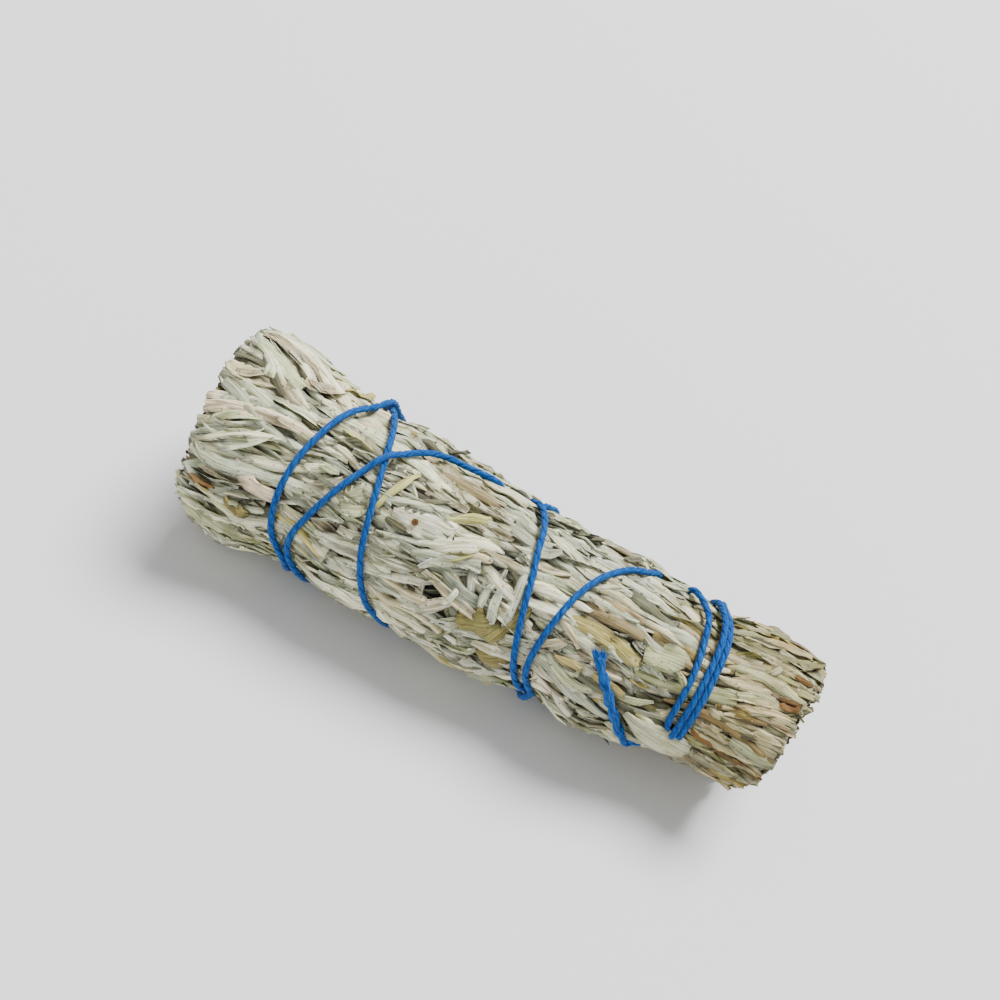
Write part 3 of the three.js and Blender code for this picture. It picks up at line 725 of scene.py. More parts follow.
# The leaves are narrow felted blades, dried flat and pressed over each other along the bundle.
# Each is laid where the pile is lowest so far, and rests on what is already under it.
UNDER_LEAVES = 1500
UNDER_COLUMNS = 5
TOP_LEAVES = 2100
TOP_COLUMNS = 7
LEAF_LENGTH = 13.0
LEAF_LENGTH_SPREAD = 0.34
LEAF_LENGTHS = (6.0, 24)
LEAF_WIDTH = 2.25
LEAF_WIDTH_SPREAD = 0.33
LEAF_WIDTHS = (1.1, 4.8)
WIDEST_FOR_LENGTH = 0.30
CUPPED_SHARE = 0.32
CUPPED = (0.2, 0.9)
ARCHED = (-1.05, -0.05)
BEND = 14
HOOKED_SHARE = 0.14
HOOKED_BEND = 70
SWAY = 9
BLUNT_SHARE = 0.24
LOOSE_SHARE = 0.16
LOOSE_SKEW = 30
COMMON_SKEW = 9
RAGGED = (-0.8, 1.2)
LIFTED_SHARE = 0.30
LIFTED = (0.2, 0.9)
CRUMPLE = (0.0, 0.26)
CRUMPLE_TURNS = (0.7, 1.7)
NAMED_CRUMPLE = 0.10
NAMED_OLIVE_CRUMPLE = 0.34
TINT_RANGE = (0.82, 1.24)
CEILING_LOWEST = -0.45
CEILING_RISE = 0.62
LEAF_MAP_START = -2.1
LEAF_THICK = 0.30
SLOPE_LIMIT = 0.22
CANDIDATES = 6
LEAF_SEED = 2024
STATIONS = 9
# Painted shade: leaves laid early lie low in the pile and are darkened, down to DEEPEST_SHADE for
# the first.
DEEPEST_SHADE = 0.54
# Painted shade: a leaf is darker by up to CREVICE_SHADE the deeper it lies under the top of the
# pile, over CREVICE_DEPTH mm, and by up to CONTACT_SHADE close under the edge of a higher leaf, a
# painted contact shadow.
CREVICE_SHADE = 0.86
CREVICE_DEPTH = 0.80
CONTACT_SHADE = 0.55
CONTACT_FROM = 0.16
CONTACT_TO = 0.55
# Leaf edges are lighter: partly the felt's own paler edge, partly a painted highlight.
PALE_EDGE_AND_HIGHLIGHT = 0.18
BROAD_END_TINT = np.array([1.10, 1.09, 1.06])
TIED_END_TINT = np.array([0.69, 0.64, 0.51])

LEAF_COLORS = {
    "silver": (0.805, 0.820, 0.735),
    "grey": (0.735, 0.755, 0.675),
    "cream": (0.885, 0.868, 0.762),
    "green": (0.735, 0.755, 0.610),
    "tan": (0.812, 0.768, 0.648),
    "olive": (0.690, 0.640, 0.410),
    "rust": (0.560, 0.430, 0.290),
    "old_olive": (0.545, 0.510, 0.320),
    "brown": (0.630, 0.560, 0.430),
    "dark": (0.420, 0.420, 0.350),
    "yellow_green": (0.760, 0.755, 0.500),
    "pink_cream": (0.890, 0.842, 0.745),
}
COLOR_NAMES = list(LEAF_COLORS)
COMMON_SHARES = [0.42, 0.15, 0.24, 0.10, 0.05, 0.01, 0.0, 0.0, 0.0, 0.03, 0.0, 0.0]
DRY_SHARES = [0.17, 0.11, 0.24, 0.06, 0.22, 0.06, 0.0, 0.02, 0.07, 0.05, 0.0, 0.0]


def linear(color):
    """A screen colour, 0 to 1, as the light that it stands for."""
    color = np.asarray(color, dtype=float)
    return np.where(color <= 0.04045, color / 12.92, ((color + 0.055) / 1.055) ** 2.4)


LEAF_TINTS = linear(list(LEAF_COLORS.values()))

# x, degrees round, heading, bend in degrees, length, width, cup, blunt, over, colour. Over is
# how high the leaf's middle arches over what is under it, and under 0 how high its tip stands.
SINGLE_LEAVES = [
    (-5.8, 68, 30, 5, 8.8, 3.7, 0.10, 1, 0, "yellow_green"),
    (-3.8, 52, 42, 55, 7.4, 2.0, 0.30, 0, 0, "yellow_green"),
    (3.9, 22.5, 24, 20, 7.4, 6.0, -0.3, 1, 0, "old_olive"),
    (8.6, 8, 30, 15, 6.8, 5.4, -0.3, 1, 0, "old_olive"),
    (8.7, 29.6, 65, 10, 9.4, 3.4, -0.3, 0, 0, "old_olive"),
    (23.3, 52, -2, -20, 15.0, 3.4, -0.2, 1, 0, "olive"),
    (27.5, 50, -14, 25, 8.0, 2.8, -0.3, 1, 0, "olive"),
    (37.4, 68, -25, 0, 6.2, 3.2, -0.1, 0, 0, "tan"),
    (34.2, 60, 14, 0, 7.6, 6.4, -0.15, 0, 0, "green"),
    (38.4, 48, -48, 0, 6.4, 2.8, 0.1, 1, 0, "green"),
    (46.0, 86, 33, 0, 7.2, 2.6, 0.15, 0, 0, "yellow_green"),
    (49.8, 54, 14, -10, 8.6, 2.9, -0.15, 0, 0, "olive"),
    (-24.8, 48, 31, 0, 6.6, 5.6, 0.05, 1, 0, "green"),
    (-12.0, 55, 6, 0, 11.0, 4.6, -0.05, 1, 0, "silver"),
    (-45.0, 64, 14, -14, 19.5, 2.2, -0.10, 0, 0, "pink_cream"),
    (-48.9, 56, 32, -30, 10.0, 1.6, -0.1, 0, 0, "green"),
    (-38.7, 100, 40, 80, 8.6, 2.6, 0.5, 1, 0, "tan"),
    (-41.0, 28, -25, 60, 10.0, 3.2, -0.2, 1, 0, "pink_cream"),
    (-48.9, 17, -8, 0, 4.8, 1.7, -0.3, 1, 0, "rust"),
    (-49.0, 14, -2, 0, 5.4, 1.6, -0.3, 0, 0, "olive"),
    (-50.5, 79, 25, 40, 4.4, 1.9, 0.5, 1, 0, "tan"),
    (-19.2, 65, 71, -20, 10.6, 1.7, -0.1, 0, 0, "yellow_green"),
    (-29.2, 84, -13, 0, 7.6, 3.2, 0.1, 0, 0, "yellow_green"),
    (-47.6, 94, -17, 0, 11.5, 3.2, -0.1, 1, 0, "green"),
    (4.9, 36, -80, 10, 6.4, 1.8, 0.2, 1, 0, "silver"),
    (-5.2, 46, 28, -60, 11.0, 2.0, 0.2, 0, 0, "silver"),
    (16.8, 33, 50, 0, 5.2, 2.2, 0.0, 0, 0, "tan"),
    (-6.0, 54, 28, 0, 8.0, 2.8, -0.2, 1, 0, "cream"),
    (-10.6, 84, -4, 0, 9.8, 3.0, 0.1, 0, 0, "green"),
    (51.5, 59, 24, -34, 14.0, 1.5, -0.1, 0, 0, "pink_cream"),
    (50.5, 63, 22, -30, 13.0, 1.3, -0.1, 0, 0, "cream"),
    (52.5, 54, 20, -24, 11.5, 1.2, -0.1, 0, 0, "pink_cream"),
    (47.0, 23, -5, 0, 7.0, 0.9, -0.4, 0, 0, "rust"),
    (55.3, 22, -7, 0, 6.0, 1.0, -0.4, 0, 0, "rust"),
    (57.0, 92, 4, 0, 3.0, 1.6, -0.3, 1, 0, "rust"),
    (55.6, 74, 10, 0, 5.4, 1.3, -0.4, 1, 0, "rust"),
    (56.4, 70, 14, 0, 3.4, 1.6, -0.4, 1, 0, "rust"),
    (54.6, 33, -4, 10, 8.6, 3.4, -0.45, 1, 0, "grey"),
    (52.8, 6, 8, 0, 8.0, 2.2, -0.2, 1, 0, "olive"),
    (-42.2, 12, -26, 20, 4.6, 2.2, 0.3, 1, 0, "olive"),
    (40.5, -20, -8, 0, 14.0, 4.4, -0.25, 1, 0.35, "grey"),
    (44.5, -26, -4, 0, 13.0, 4.0, -0.25, 1, 0.35, "tan"),
    (37.0, -13, -16, 6, 12.0, 3.4, -0.25, 0, 0.5, "cream"),
    (42.0, -9, -12, 0, 14.5, 4.2, -0.25, 1, 0.6, "silver"),
    (36.5, -4, -20, 0, 12.0, 3.0, -0.25, 0, 0.8, "grey"),
    (39.0, 10.5, -15, 6, 13.2, 5.2, -0.35, 1, 1.4, "silver"),
    (-1.5, 116, -8, 0, 10.0, 2.6, -0.3, 0, 0.3, "silver"),
    (-3.0, 112, -4, 8, 9.0, 2.4, -0.3, 1, 0.5, "cream"),
    (31.0, 132, -6, 0, 9.0, 2.8, -0.3, 1, 0.3, "silver"),
    (30.0, 126, -12, 0, 8.0, 2.4, -0.3, 0, 0.4, "grey"),
]
TIP_LEAVES = [
    (-14.2, 124, 35, 0, 3.8, 2.2, 0.3, 1, -1.5, "dark"),
    (12.6, 115, 30, 0, 3.4, 1.6, 0.3, 1, -0.9, "dark"),
    (14.6, 118, 20, 0, 3.4, 1.7, 0.3, 0, -1.0, "dark"),
    (22.2, 115, 25, 0, 3.6, 1.8, 0.3, 1, -0.9, "dark"),
    (8.6, 114, 8, 0, 6.0, 1.6, 0.3, 0, -0.6, "dark"),
    (4.0, 113, -6, 0, 5.0, 1.7, 0.3, 0, -0.6, "dark"),
    (-42.6, 128, 24, 10, 7.0, 2.4, -0.3, 1, -0.8, "silver"),
    (-38.4, 124, 30, 0, 6.0, 2.2, -0.3, 1, -0.9, "green"),
    (-34.6, 122, 26, 0, 5.4, 2.2, -0.3, 1, -0.8, "olive"),
    (-46.8, 130, 18, 0, 7.0, 2.2, -0.3, 0, -0.7, "grey"),
    (49.0, 118, 8, 0, 7.0, 1.8, -0.3, 0, -0.9, "grey"),
    (54.0, 112, 4, 0, 7.0, 1.6, -0.3, 1, -0.8, "cream"),
    (31.0, 112, 14, 0, 4.4, 1.5, 0.3, 1, -0.8, "grey"),
]

draw = np.random.default_rng(LEAF_SEED)
count = UNDER_LEAVES + TOP_LEAVES + len(SINGLE_LEAVES) + len(TIP_LEAVES)
plain = UNDER_LEAVES + TOP_LEAVES
named = SINGLE_LEAVES + TIP_LEAVES


def from_table(column):
    return np.array([row[column] for row in named], dtype=float)


def swirl(x, degrees):
    """How far the leaves lie every way instead of along the bundle, near the swirled spot."""
    return np.exp(-(((x - 1) / 9) ** 2) - ((degrees - 30) / 16) ** 2)


def heading_field(x, degrees):
    """The leaves' general direction: slow waves along and round, and a fan at the broad end."""
    a = np.radians(degrees)
    waves = 6 * np.sin(0.11 * x + 2 * a + 1) + 5 * np.sin(0.23 * x - 3 * a)
    fan = 20 * np.sin(np.radians((77 - degrees) * 3.2)) * (degrees < 133)
    share = np.clip((-x - 34) / 12, 0, 1)
    return waves * (1 - share) + fan * share


def dryness(x, degrees):
    """0 where the leaves are silvery and 1 where they are tan and brown: more to the tied end,
    and in patches on the front."""
    dry = 0.85 * np.clip((x - 12) / 38, 0, 1) + swirl(x + 3, degrees + 4)
    dry = dry + 0.8 * np.exp(-(((x - 27) / 9) ** 2) - ((degrees - 38) / 16) ** 2)
    dry = dry + 0.5 * np.exp(-(((x - 12) / 8) ** 2) - ((degrees - 8) / 14) ** 2)
    wave = 0.25 * np.sin(0.17 * x + np.radians(degrees) * 4) * np.sin(0.09 * x - 1)
    return np.clip(dry + wave, 0, 1)


def cut_back(path_x, path_degrees, ragged):
    """Leaves that would pass a cut end are drawn back until their tips are just at it."""
    short = np.max(broad_end(path_degrees) - ragged - path_x, axis=1, keepdims=True)
    long = np.max(path_x - tied_end(path_degrees) - ragged, axis=1, keepdims=True)
    return path_x + np.maximum(0, short) - np.maximum(0, long)


length = draw.lognormal(math.log(LEAF_LENGTH), LEAF_LENGTH_SPREAD, count)
length = np.clip(length, *LEAF_LENGTHS)
width = draw.lognormal(math.log(LEAF_WIDTH), LEAF_WIDTH_SPREAD, count)
width = np.minimum(np.clip(width, *LEAF_WIDTHS), length * WIDEST_FOR_LENGTH)
cup = np.where(draw.random(count) < CUPPED_SHARE, draw.uniform(*CUPPED, count),
               draw.uniform(*ARCHED, count))
hooked = np.where(draw.random(count) < HOOKED_SHARE, HOOKED_BEND, 0)
bend = draw.normal(0, BEND, count) + hooked * draw.normal(0, 1, count)
sway = draw.normal(0, SWAY, count)
blunt = (draw.random(count) < BLUNT_SHARE).astype(float)
loose = draw.random(count) < LOOSE_SHARE
skew = np.where(loose, draw.normal(0, LOOSE_SKEW, count), draw.normal(0, COMMON_SKEW, count))
ragged = draw.uniform(*RAGGED, count)
tip_lift = np.where(draw.random(count) < LIFTED_SHARE, draw.uniform(*LIFTED, count), 0.0)
crumple = draw.uniform(*CRUMPLE, count)
crumple_turns = draw.uniform(*CRUMPLE_TURNS, count)
crumple_start = draw.uniform(0, 6.28, count)
pick = draw.random(count)
over = np.zeros(count)
length[plain:], width[plain:], bend[plain:] = from_table(4), from_table(5), from_table(3)
cup[plain:], blunt[plain:], over[plain:] = from_table(6), from_table(7), from_table(8)
tip_lift[plain:], sway[plain:] = 0.0, 0.0
crumple[plain:] = [
    NAMED_OLIVE_CRUMPLE if "olive" in row[9] else NAMED_CRUMPLE for row in named
]
order = np.minimum(np.arange(count) / plain, 1.0)
ceiling = CEILING_LOWEST + CEILING_RISE * order

share_along = np.linspace(0, 1, STATIONS)
lines_aside = np.array([-0.6, 0.0, 0.6])
leaf_x = np.empty((count, STATIONS))
leaf_degrees = np.empty((count, STATIONS))
leaf_height = np.empty((count, STATIONS))
leaf_lean = np.empty(count)
leaf_heading = np.empty(count)
pile = np.full((len(GRID_X), len(GRID_DEGREES)), LEAF_MAP_START)


def leaf_path(x, degrees, heading, bend, sway, length):
    """Points along a leaf with its middle at x, degrees: the heading turns evenly by bend, and
    sways to both sides by one turn of a sine."""
    turned_by = bend * (share_along - 0.5) + sway * np.sin(2 * np.pi * share_along + length)
    way = np.radians(heading[:, None] + turned_by)
    step = length / (STATIONS - 1)
    run_x = np.cumsum(np.cos(way), axis=1) * step
    run_arc = np.cumsum(np.sin(way), axis=1) * step
    middle = STATIONS // 2
    path_x = x[:, None] + run_x - run_x[:, middle:middle + 1]
    arc = run_arc - run_arc[:, middle:middle + 1]
    return path_x, degrees[:, None] + np.degrees(arc / MIDDLE_RADIUS), way


rest_distance = np.abs(share_along[:, None] - share_along[None])
for n in range(count):
    if n < plain:
        degrees = draw.uniform(0, 360, CANDIDATES)
        x = draw.uniform(BROAD_END - 2, TIED_END + 3, CANDIDATES)
        every_way = swirl(x, degrees)
        heading = heading_field(x, degrees) + skew[n] * (1 + 2.5 * every_way)
    else:
        x, degrees, heading = (np.array([float(v)]) for v in named[n - plain][:3])
    path_x, path_degrees, way = leaf_path(x, degrees, heading, bend[n], sway[n], length[n])
    if n < plain:
        path_x = cut_back(path_x, path_degrees, ragged[n])
    aside = lines_aside * width[n] / 2
    line_x = path_x[..., None] - np.sin(way)[..., None] * aside
    line_arc = np.cos(way)[..., None] * aside
    line_degrees = path_degrees[..., None] + np.degrees(line_arc / MIDDLE_RADIUS)
    under = pile[cell(line_x, line_degrees)]
    best = int(np.argmin(under.mean(axis=(1, 2)) + 0.004 * np.arange(len(x))))
    under = under[best]
    bed = 0.6 * under.max(axis=1) + 0.4 * under.mean(axis=1)
    slack = bed[None] - SLOPE_LIMIT * length[n] * rest_distance
    height = np.minimum(slack.max(axis=1) + LEAF_THICK / 2 + 0.04, ceiling[n] + 0.1 * blunt[n])
    height = height + tip_lift[n] * order[n] * np.clip((share_along - 0.6) / 0.4, 0, 1) ** 2
    sideways = (under[:, 2] - under[:, 0]).mean() / (1.2 * width[n])
    leaf_lean[n] = np.clip(0.8 * sideways, -0.40, 0.40)
    leaf_x[n], leaf_degrees[n], leaf_height[n] = path_x[best], path_degrees[best], height
    leaf_heading[n] = heading[best]
    tops = np.repeat(height[:, None], 3, axis=1) + LEAF_THICK / 2
    inside = (line_x[best] > GRID_X[0]) & (line_x[best] < GRID_X[-1])
    i, j = cell(line_x[best][inside], line_degrees[best][inside])
    np.maximum.at(pile, (i, j), tops[inside])
    between = (line_x[best][:-1] + line_x[best][1:]) / 2
    i, j = cell(between, (line_degrees[best][:-1] + line_degrees[best][1:]) / 2)
    np.maximum.at(pile, (i, j), (tops[:-1] + tops[1:]) / 2)


def leaf_rings(line, out, lean, widths, cups, columns, seed):
    """Rings of a leaf: its upper side is points across the width, raised at the edges by the
    cup times the square of the distance from the rib, bent along a crease, with small ridges
    and waved edges, and one point closes it underneath."""
    draw = np.random.default_rng(seed)
    copies, stations = line.shape[:2]
    ahead, across, outward_at = directions(line, out)
    t = np.linspace(0, 1, stations)[None, :, None]
    phase = draw.uniform(0, 6.28, (copies, 1, 6))
    speed = draw.uniform(5, 13, (copies, 1, 4))
    rolling = np.sin(0.5 * speed[..., 3] * t[..., 0] + phase[..., 5])
    roll = draw.normal(0, 0.20, (copies, 1)) * rolling
    twist = lean[:, None] + draw.normal(0, 0.20, (copies, 1)) * (2 * t[..., 0] - 1) + roll
    cosine, sine = np.cos(twist)[..., None], np.sin(twist)[..., None]
    side, face = across * cosine + outward_at * sine, outward_at * cosine - across * sine
    v = np.linspace(-1, 1, columns)
    uneven = 1 + 0.11 * np.sin(speed[..., 2:3] * t + phase[..., 3:5])
    half = widths[..., None] / 2 * np.where(v < 0, uneven[..., :1], uneven[..., 1:])
    ridge = draw.uniform(0.02, 0.075, (copies, 1, 1)) * np.cos(3 * np.pi * v + phase[..., :1])
    groove = -draw.uniform(0.0, 0.09, (copies, 1, 1)) * np.exp(-((v / 0.25) ** 2))
    wave = draw.uniform(0.0, 0.17, (copies, 1, 1)) * v**2
    wave = wave * np.where(v < 0, np.sin(speed[..., :1] * t + phase[..., 1:2]),
                           np.sin(speed[..., 1:2] * t + phase[..., 2:3]))
    creased = draw.random((copies, 1, 1)) < 0.4
    bent = creased * draw.uniform(-1.1, 0.6, (copies, 1, 1))
    crease = draw.choice([-0.34, 0.0, 0.34], (copies, 1, 1))
    past_crease = np.maximum(0, draw.choice([-1, 1], (copies, 1, 1)) * (v - crease))
    rise = cups[:, None, None] * (v**2 - 0.35) * half + bent * past_crease * np.minimum(half, 0.9)
    rise = rise + ridge + groove
    rise = rise * np.minimum(1, half / 0.8) + wave * np.minimum(1, half / 0.7)
    jag = draw.normal(0, 0.05, (copies, stations, columns)) * np.minimum(1, half / 0.7)
    jag[:, -1] *= 3.5
    top = (
        line[..., None, :]
        + side[..., None, :] * (v * half)[..., None]
        + face[..., None, :] * rise[..., None]
        + ahead[..., None, :] * jag[..., None]
    )
    thick = LEAF_THICK * np.minimum(1, widths / 1.2)
    below = line - face * (thick + 0.35 * np.abs(cups[:, None]) * widths / 2)[..., None]
    return np.concatenate([top, below[:, :, None]], axis=2), v


def round_form(points):
    """Where points are round the bundle: x, degrees, and how far they stand out of its form."""
    x, aside, height = np.moveaxis(points - MIDDLE_SHIFT, -1, 0)
    height = height - AXIS_HEIGHT - AXIS_SLOPE * x
    degrees = np.degrees(np.arctan2(height, -aside))
    return x, degrees, np.hypot(aside, height) - surface_radius(x, degrees)


def softened(heights, reach):
    """A map of heights with each cell the mean of its neighbours, reach cells each way."""
    for axis in (0, 1):
        moved = [np.roll(heights, step, axis=axis) for step in range(-reach, reach + 1)]
        heights = sum(moved) / len(moved)
    return heights


pile_top = softened(pile, 2)
pile_edge = np.max([np.roll(pile, (i, j), axis=(0, 1)) for i in (-1, 0, 1) for j in (-1, 0, 1)],
                   axis=0)


def crevice_shade(points):
    """How light a leaf is at points, as painted shade: 1 at the top of the pile and darker the
    deeper it is, eased by a smooth step. It is darker once more close under the edge of a higher
    leaf, a painted contact shadow, by a ramp of the height between them."""
    x, degrees, height = round_form(points)
    here = cell(x, degrees)
    share = np.clip((pile_top[here] - dips[here] - height) / CREVICE_DEPTH, 0, 1)
    under_edge = pile_edge[here] - dips[here] - height - CONTACT_FROM
    close = np.clip(under_edge / (CONTACT_TO - CONTACT_FROM), 0, 1)
    return (1 - CREVICE_SHADE * share**2 * (3 - 2 * share)) * (1 - CONTACT_SHADE * close)


middle_x = leaf_x[:, STATIONS // 2]
middle_degrees = leaf_degrees[:, STATIONS // 2] % 360
dry = dryness(middle_x, middle_degrees)
shares = np.cumsum(np.array(COMMON_SHARES) * (1 - dry[:, None])
                   + np.array(DRY_SHARES) * dry[:, None], axis=1)
color_number = np.minimum((pick[:, None] > shares).sum(axis=1), len(COLOR_NAMES) - 1)
color_number[plain:] = [COLOR_NAMES.index(row[9]) for row in named]
tints = LEAF_TINTS[color_number] * draw.uniform(*TINT_RANGE, (count, 1))
tints = tints * (1 + (TIED_END_TINT - 1) * np.clip((middle_x - 30) / 14, 0, 1)[:, None])
tints = tints * (1 + (BROAD_END_TINT - 1) * np.clip((-10 - middle_x) / 20, 0, 1)[:, None])
tints = tints * (1 + draw.normal(0, 0.02, (count, 3)))
# Painted shade on the leaves laid early, which lie lowest in the pile.
tints = tints * (DEEPEST_SHADE + (1 - DEEPEST_SHADE) * np.clip(order * 1.6, 0, 1))[:, None]

root_at = draw.uniform(0.03, 0.16, (count, 1))
tip_at = np.where(blunt[:, None] > 0, draw.uniform(0.66, 0.84, (count, 1)),
                  draw.uniform(0.90, 0.985, (count, 1)))
lance = np.sin(np.pi * (root_at + (tip_at - root_at) * share_along))
fullness = draw.uniform(0.45, 0.85, (count, 1))
leaf_width = width[:, None] * (lance**fullness * 0.96 + 0.05)

dip_here = dips[cell(leaf_x, leaf_degrees)] * (over[:, None] >= 0)
arch = np.maximum(over, 0)[:, None] * np.sin(np.pi * (0.10 + 0.80 * share_along)) ** 0.7
tip_up = np.maximum(-over, 0)[:, None] * share_along**1.5
leaf_out = np.maximum(leaf_height - dip_here, arch - 9.0 * (over[:, None] <= 0)) + tip_up
crumple_at = crumple_turns[:, None] * 2 * np.pi * share_along + crumple_start[:, None]
leaf_out = leaf_out + crumple[:, None] * np.sin(crumple_at)
leaf_line = place(leaf_x, leaf_degrees, surface_radius(leaf_x, leaf_degrees) + leaf_out)
floor_here = lowest_cell[cell(leaf_x, leaf_degrees)] + 0.35 + 0.25 * (1 - order[:, None])
sunk = leaf_line[..., 2] - floor_here
leaf_line[..., 2] = floor_here + 0.35 * np.logaddexp(0, sunk / 0.35)
pressed = np.clip(sunk[:, STATIONS // 2] / 1.5, 0, 1)
leaf_lean = (leaf_lean + draw.normal(0, 0.13, count)) * pressed
leaf_outward = outward(leaf_degrees)
past_first = (middle_degrees - sprig_line(0, middle_x)) % 360
sprig_number = np.floor(past_first / SPRIG_DEGREES).astype(int) % OUTER_SPRIGS

for group, columns, stations_kept in (
    (np.arange(count) < UNDER_LEAVES, UNDER_COLUMNS, np.arange(0, STATIONS, 2)),
    (np.arange(count) >= UNDER_LEAVES, TOP_COLUMNS, np.arange(STATIONS)),
):
    for k, heap in enumerate(sprig_heaps):
        chosen = np.nonzero(group & (sprig_number == k))[0]
        at = np.ix_(chosen, stations_kept)
        rings, v = leaf_rings(
            leaf_line[at], leaf_outward[at], leaf_lean[chosen], leaf_width[at],
            cup[chosen] * (0.3 + 0.7 * pressed[chosen]), columns, 700 + 13 * k + columns,
        )
        rings[..., 2] = np.maximum(rings[..., 2], LOWEST_POINT)
        grain = np.zeros(rings.shape[:3] + (2,))
        grain[..., 0] = (share_along[stations_kept] * length[chosen][:, None])[..., None]
        grain[..., 0] += 37.0 * chosen[:, None, None]
        grain[..., :columns, 1] = v * leaf_width[at][..., None] / 2
        # Each leaf's colour times its painted crevice shade and contact shadow.
        shade = tints[chosen][:, None, None] * crevice_shade(rings)[..., None]
        # Lighter towards the leaf's edges: the felt's paler edge and a painted highlight.
        shade[:, :, :columns] *= 1 + PALE_EDGE_AND_HIGHLIGHT * v[:, None] ** 4
        # The point under each leaf, which closes its underside, is darker: painted shade.
        shade[:, :, -1] *= 0.7
        heap.add(rings, shade, grain)

leaf_finish = Finish("dried_felted_leaf", 0.88, specular=0.15, sheen=0.12)
tint_in = leaf_finish.node("ShaderNodeAttribute", {"attribute_name": "tint"})["Color"]
leaf_uv = leaf_finish.node("ShaderNodeUVMap", {"uv_map": "grain"})["UV"]
vein_at = leaf_finish.node(
    "ShaderNodeVectorMath", {"operation": "MULTIPLY"}, leaf_uv, (0.17, 3.0, 1.0)
)["Vector"]
veins = leaf_finish.node(
    "ShaderNodeTexNoise", {}, Vector=vein_at, Scale=1.0, Detail=4.0, Roughness=0.6,
    Distortion=0.4,
)["Fac"]
across_uv = leaf_finish.node("ShaderNodeSeparateXYZ", {}, leaf_uv)["Y"]
rib = 1 - across_uv.math("ABSOLUTE").between(0.04, 0.16)
here = leaf_finish.node("ShaderNodeTexCoord", {})["Object"]
blotch = leaf_finish.node("ShaderNodeTexNoise", {}, Vector=here, Scale=420.0, Detail=3.0)["Fac"]
felt = leaf_finish.node("ShaderNodeTexNoise", {}, Vector=here, Scale=4200.0, Detail=2.0)["Fac"]
painted_pit_shade = leaf_finish.node("ShaderNodeTexNoise", {}, Vector=here, Scale=1500.0, Detail=1.0)["Fac"]
streaked = leaf_finish.mix(
    veins.between(0.34, 0.60), (0.56, 0.54, 0.44, 1), (1.16, 1.16, 1.13, 1)
)
leaf_color = leaf_finish.mix(1.0, tint_in, streaked, "MULTIPLY")
mottled = leaf_finish.mix(
    blotch.between(0.35, 0.68), (1.04, 1.04, 1.05, 1), (0.92, 0.90, 0.80, 1)
)
leaf_color = leaf_finish.mix(1.0, leaf_color, mottled, "MULTIPLY")
ribbed = leaf_finish.mix(rib, (1.0, 1.0, 1.0, 1), (1.14, 1.13, 1.08, 1))
leaf_color = leaf_finish.mix(1.0, leaf_color, ribbed, "MULTIPLY")
# Tiny near-black specks, scattered by noise, are painted shade of small pits and holes between
# the leaves.
leaf_color = leaf_finish.mix(painted_pit_shade.between(0.69, 0.735) * 0.8, leaf_color, (0.10, 0.07, 0.04, 1))
leaf_felt = leaf_finish.shaped(leaf_color, veins * 0.8 + felt * 0.25, 0.00030, 0.95)


# One broad leaf has a round brown spot, where something has eaten at it: a low dome of rings.
SPOT_LEAF = plain + [row[:2] for row in SINGLE_LEAVES].index((-12.0, 55))
SPOT_STATION = 3
SPOT_RADII = np.array([0.50, 0.62, 0.60, 0.44, 0.18])
SPOT_HEIGHTS = np.array([-0.30, 0.02, 0.14, 0.17, 0.10])
SPOT_TINTS = linear([(0.26, 0.18, 0.11), (0.28, 0.19, 0.11), (0.44, 0.30, 0.16),
                     (0.50, 0.36, 0.20), (0.36, 0.25, 0.15)])
SPOT_SIDES = 14

spot_angle = 2 * np.pi * np.arange(SPOT_SIDES) / SPOT_SIDES
spot_out = leaf_outward[SPOT_LEAF, SPOT_STATION]
spot_round = np.cross(spot_out, [1.0, 0, 0])
spot_middle = leaf_line[SPOT_LEAF, SPOT_STATION] + 0.25 * spot_out
spot_rim = np.outer(np.cos(spot_angle), [1.0, 0, 0]) - np.outer(np.sin(spot_angle), spot_round)
spot_rings = spot_middle + SPOT_RADII[:, None, None] * spot_rim
spot_rings = spot_rings + SPOT_HEIGHTS[:, None, None] * spot_out
sprig_heaps[sprig_number[SPOT_LEAF]].add(
    spot_rings[None], SPOT_TINTS[None, :, None], np.array([5.0, 1.0])
)


# The cut ends show the leaves edge on, as short curved strips packed round the stems. The
# stems are woody, with a brown bark, pale wood and a soft pith, and stand a little proud.
STRIP_LAYER = 0.56
STRIP_LAYERS = (1.0, 17.6)
STRIP_SPACING = 3.3
STRIP_FEWEST = 3
STRIP_RIM = 0.8
STRIP_LENGTH = (1.8, 6.0)
STRIP_THICK = 0.36
STRIP_DEPTH = 4.0
STRIP_OUT = (-1.0, 0.5)
STRIP_COLUMNS = 6
STEM_RADIUS = 1.3
STEM_OUT = 0.8
STEM_DEPTH = 9.0
STEM_SIDES = 18
INNER_SPRIGS = 3
INNER_DEGREES = 120
INNER_GAP = 1.5
INNER_STEM_AT = 3.6
OUTER_STEM_AT = (10.1, 11.6)
INNER_BORE = 0.5
BARK_TINT = linear((0.50, 0.40, 0.28))
WOOD_TINT = linear((0.70, 0.60, 0.43))
PITH_TINT = linear((0.86, 0.82, 0.70))

inner_heaps = [Heap() for sprig in range(INNER_SPRIGS)]
for k, heap in enumerate(inner_heaps):
    first_side = INNER_DEGREES * k + INNER_GAP
    last_side = INNER_DEGREES * (k + 1) - INNER_GAP
    add_heart(
        heap,
        lambda x, first=first_side, last=last_side: (first + 0 * x, last + 0 * x),
        INNER_BORE,
        lambda x, degrees: INNER_RADIUS - 0.6 + 0 * x,
        0.0,
        HEART_BROWN_AND_SHADE,
    )


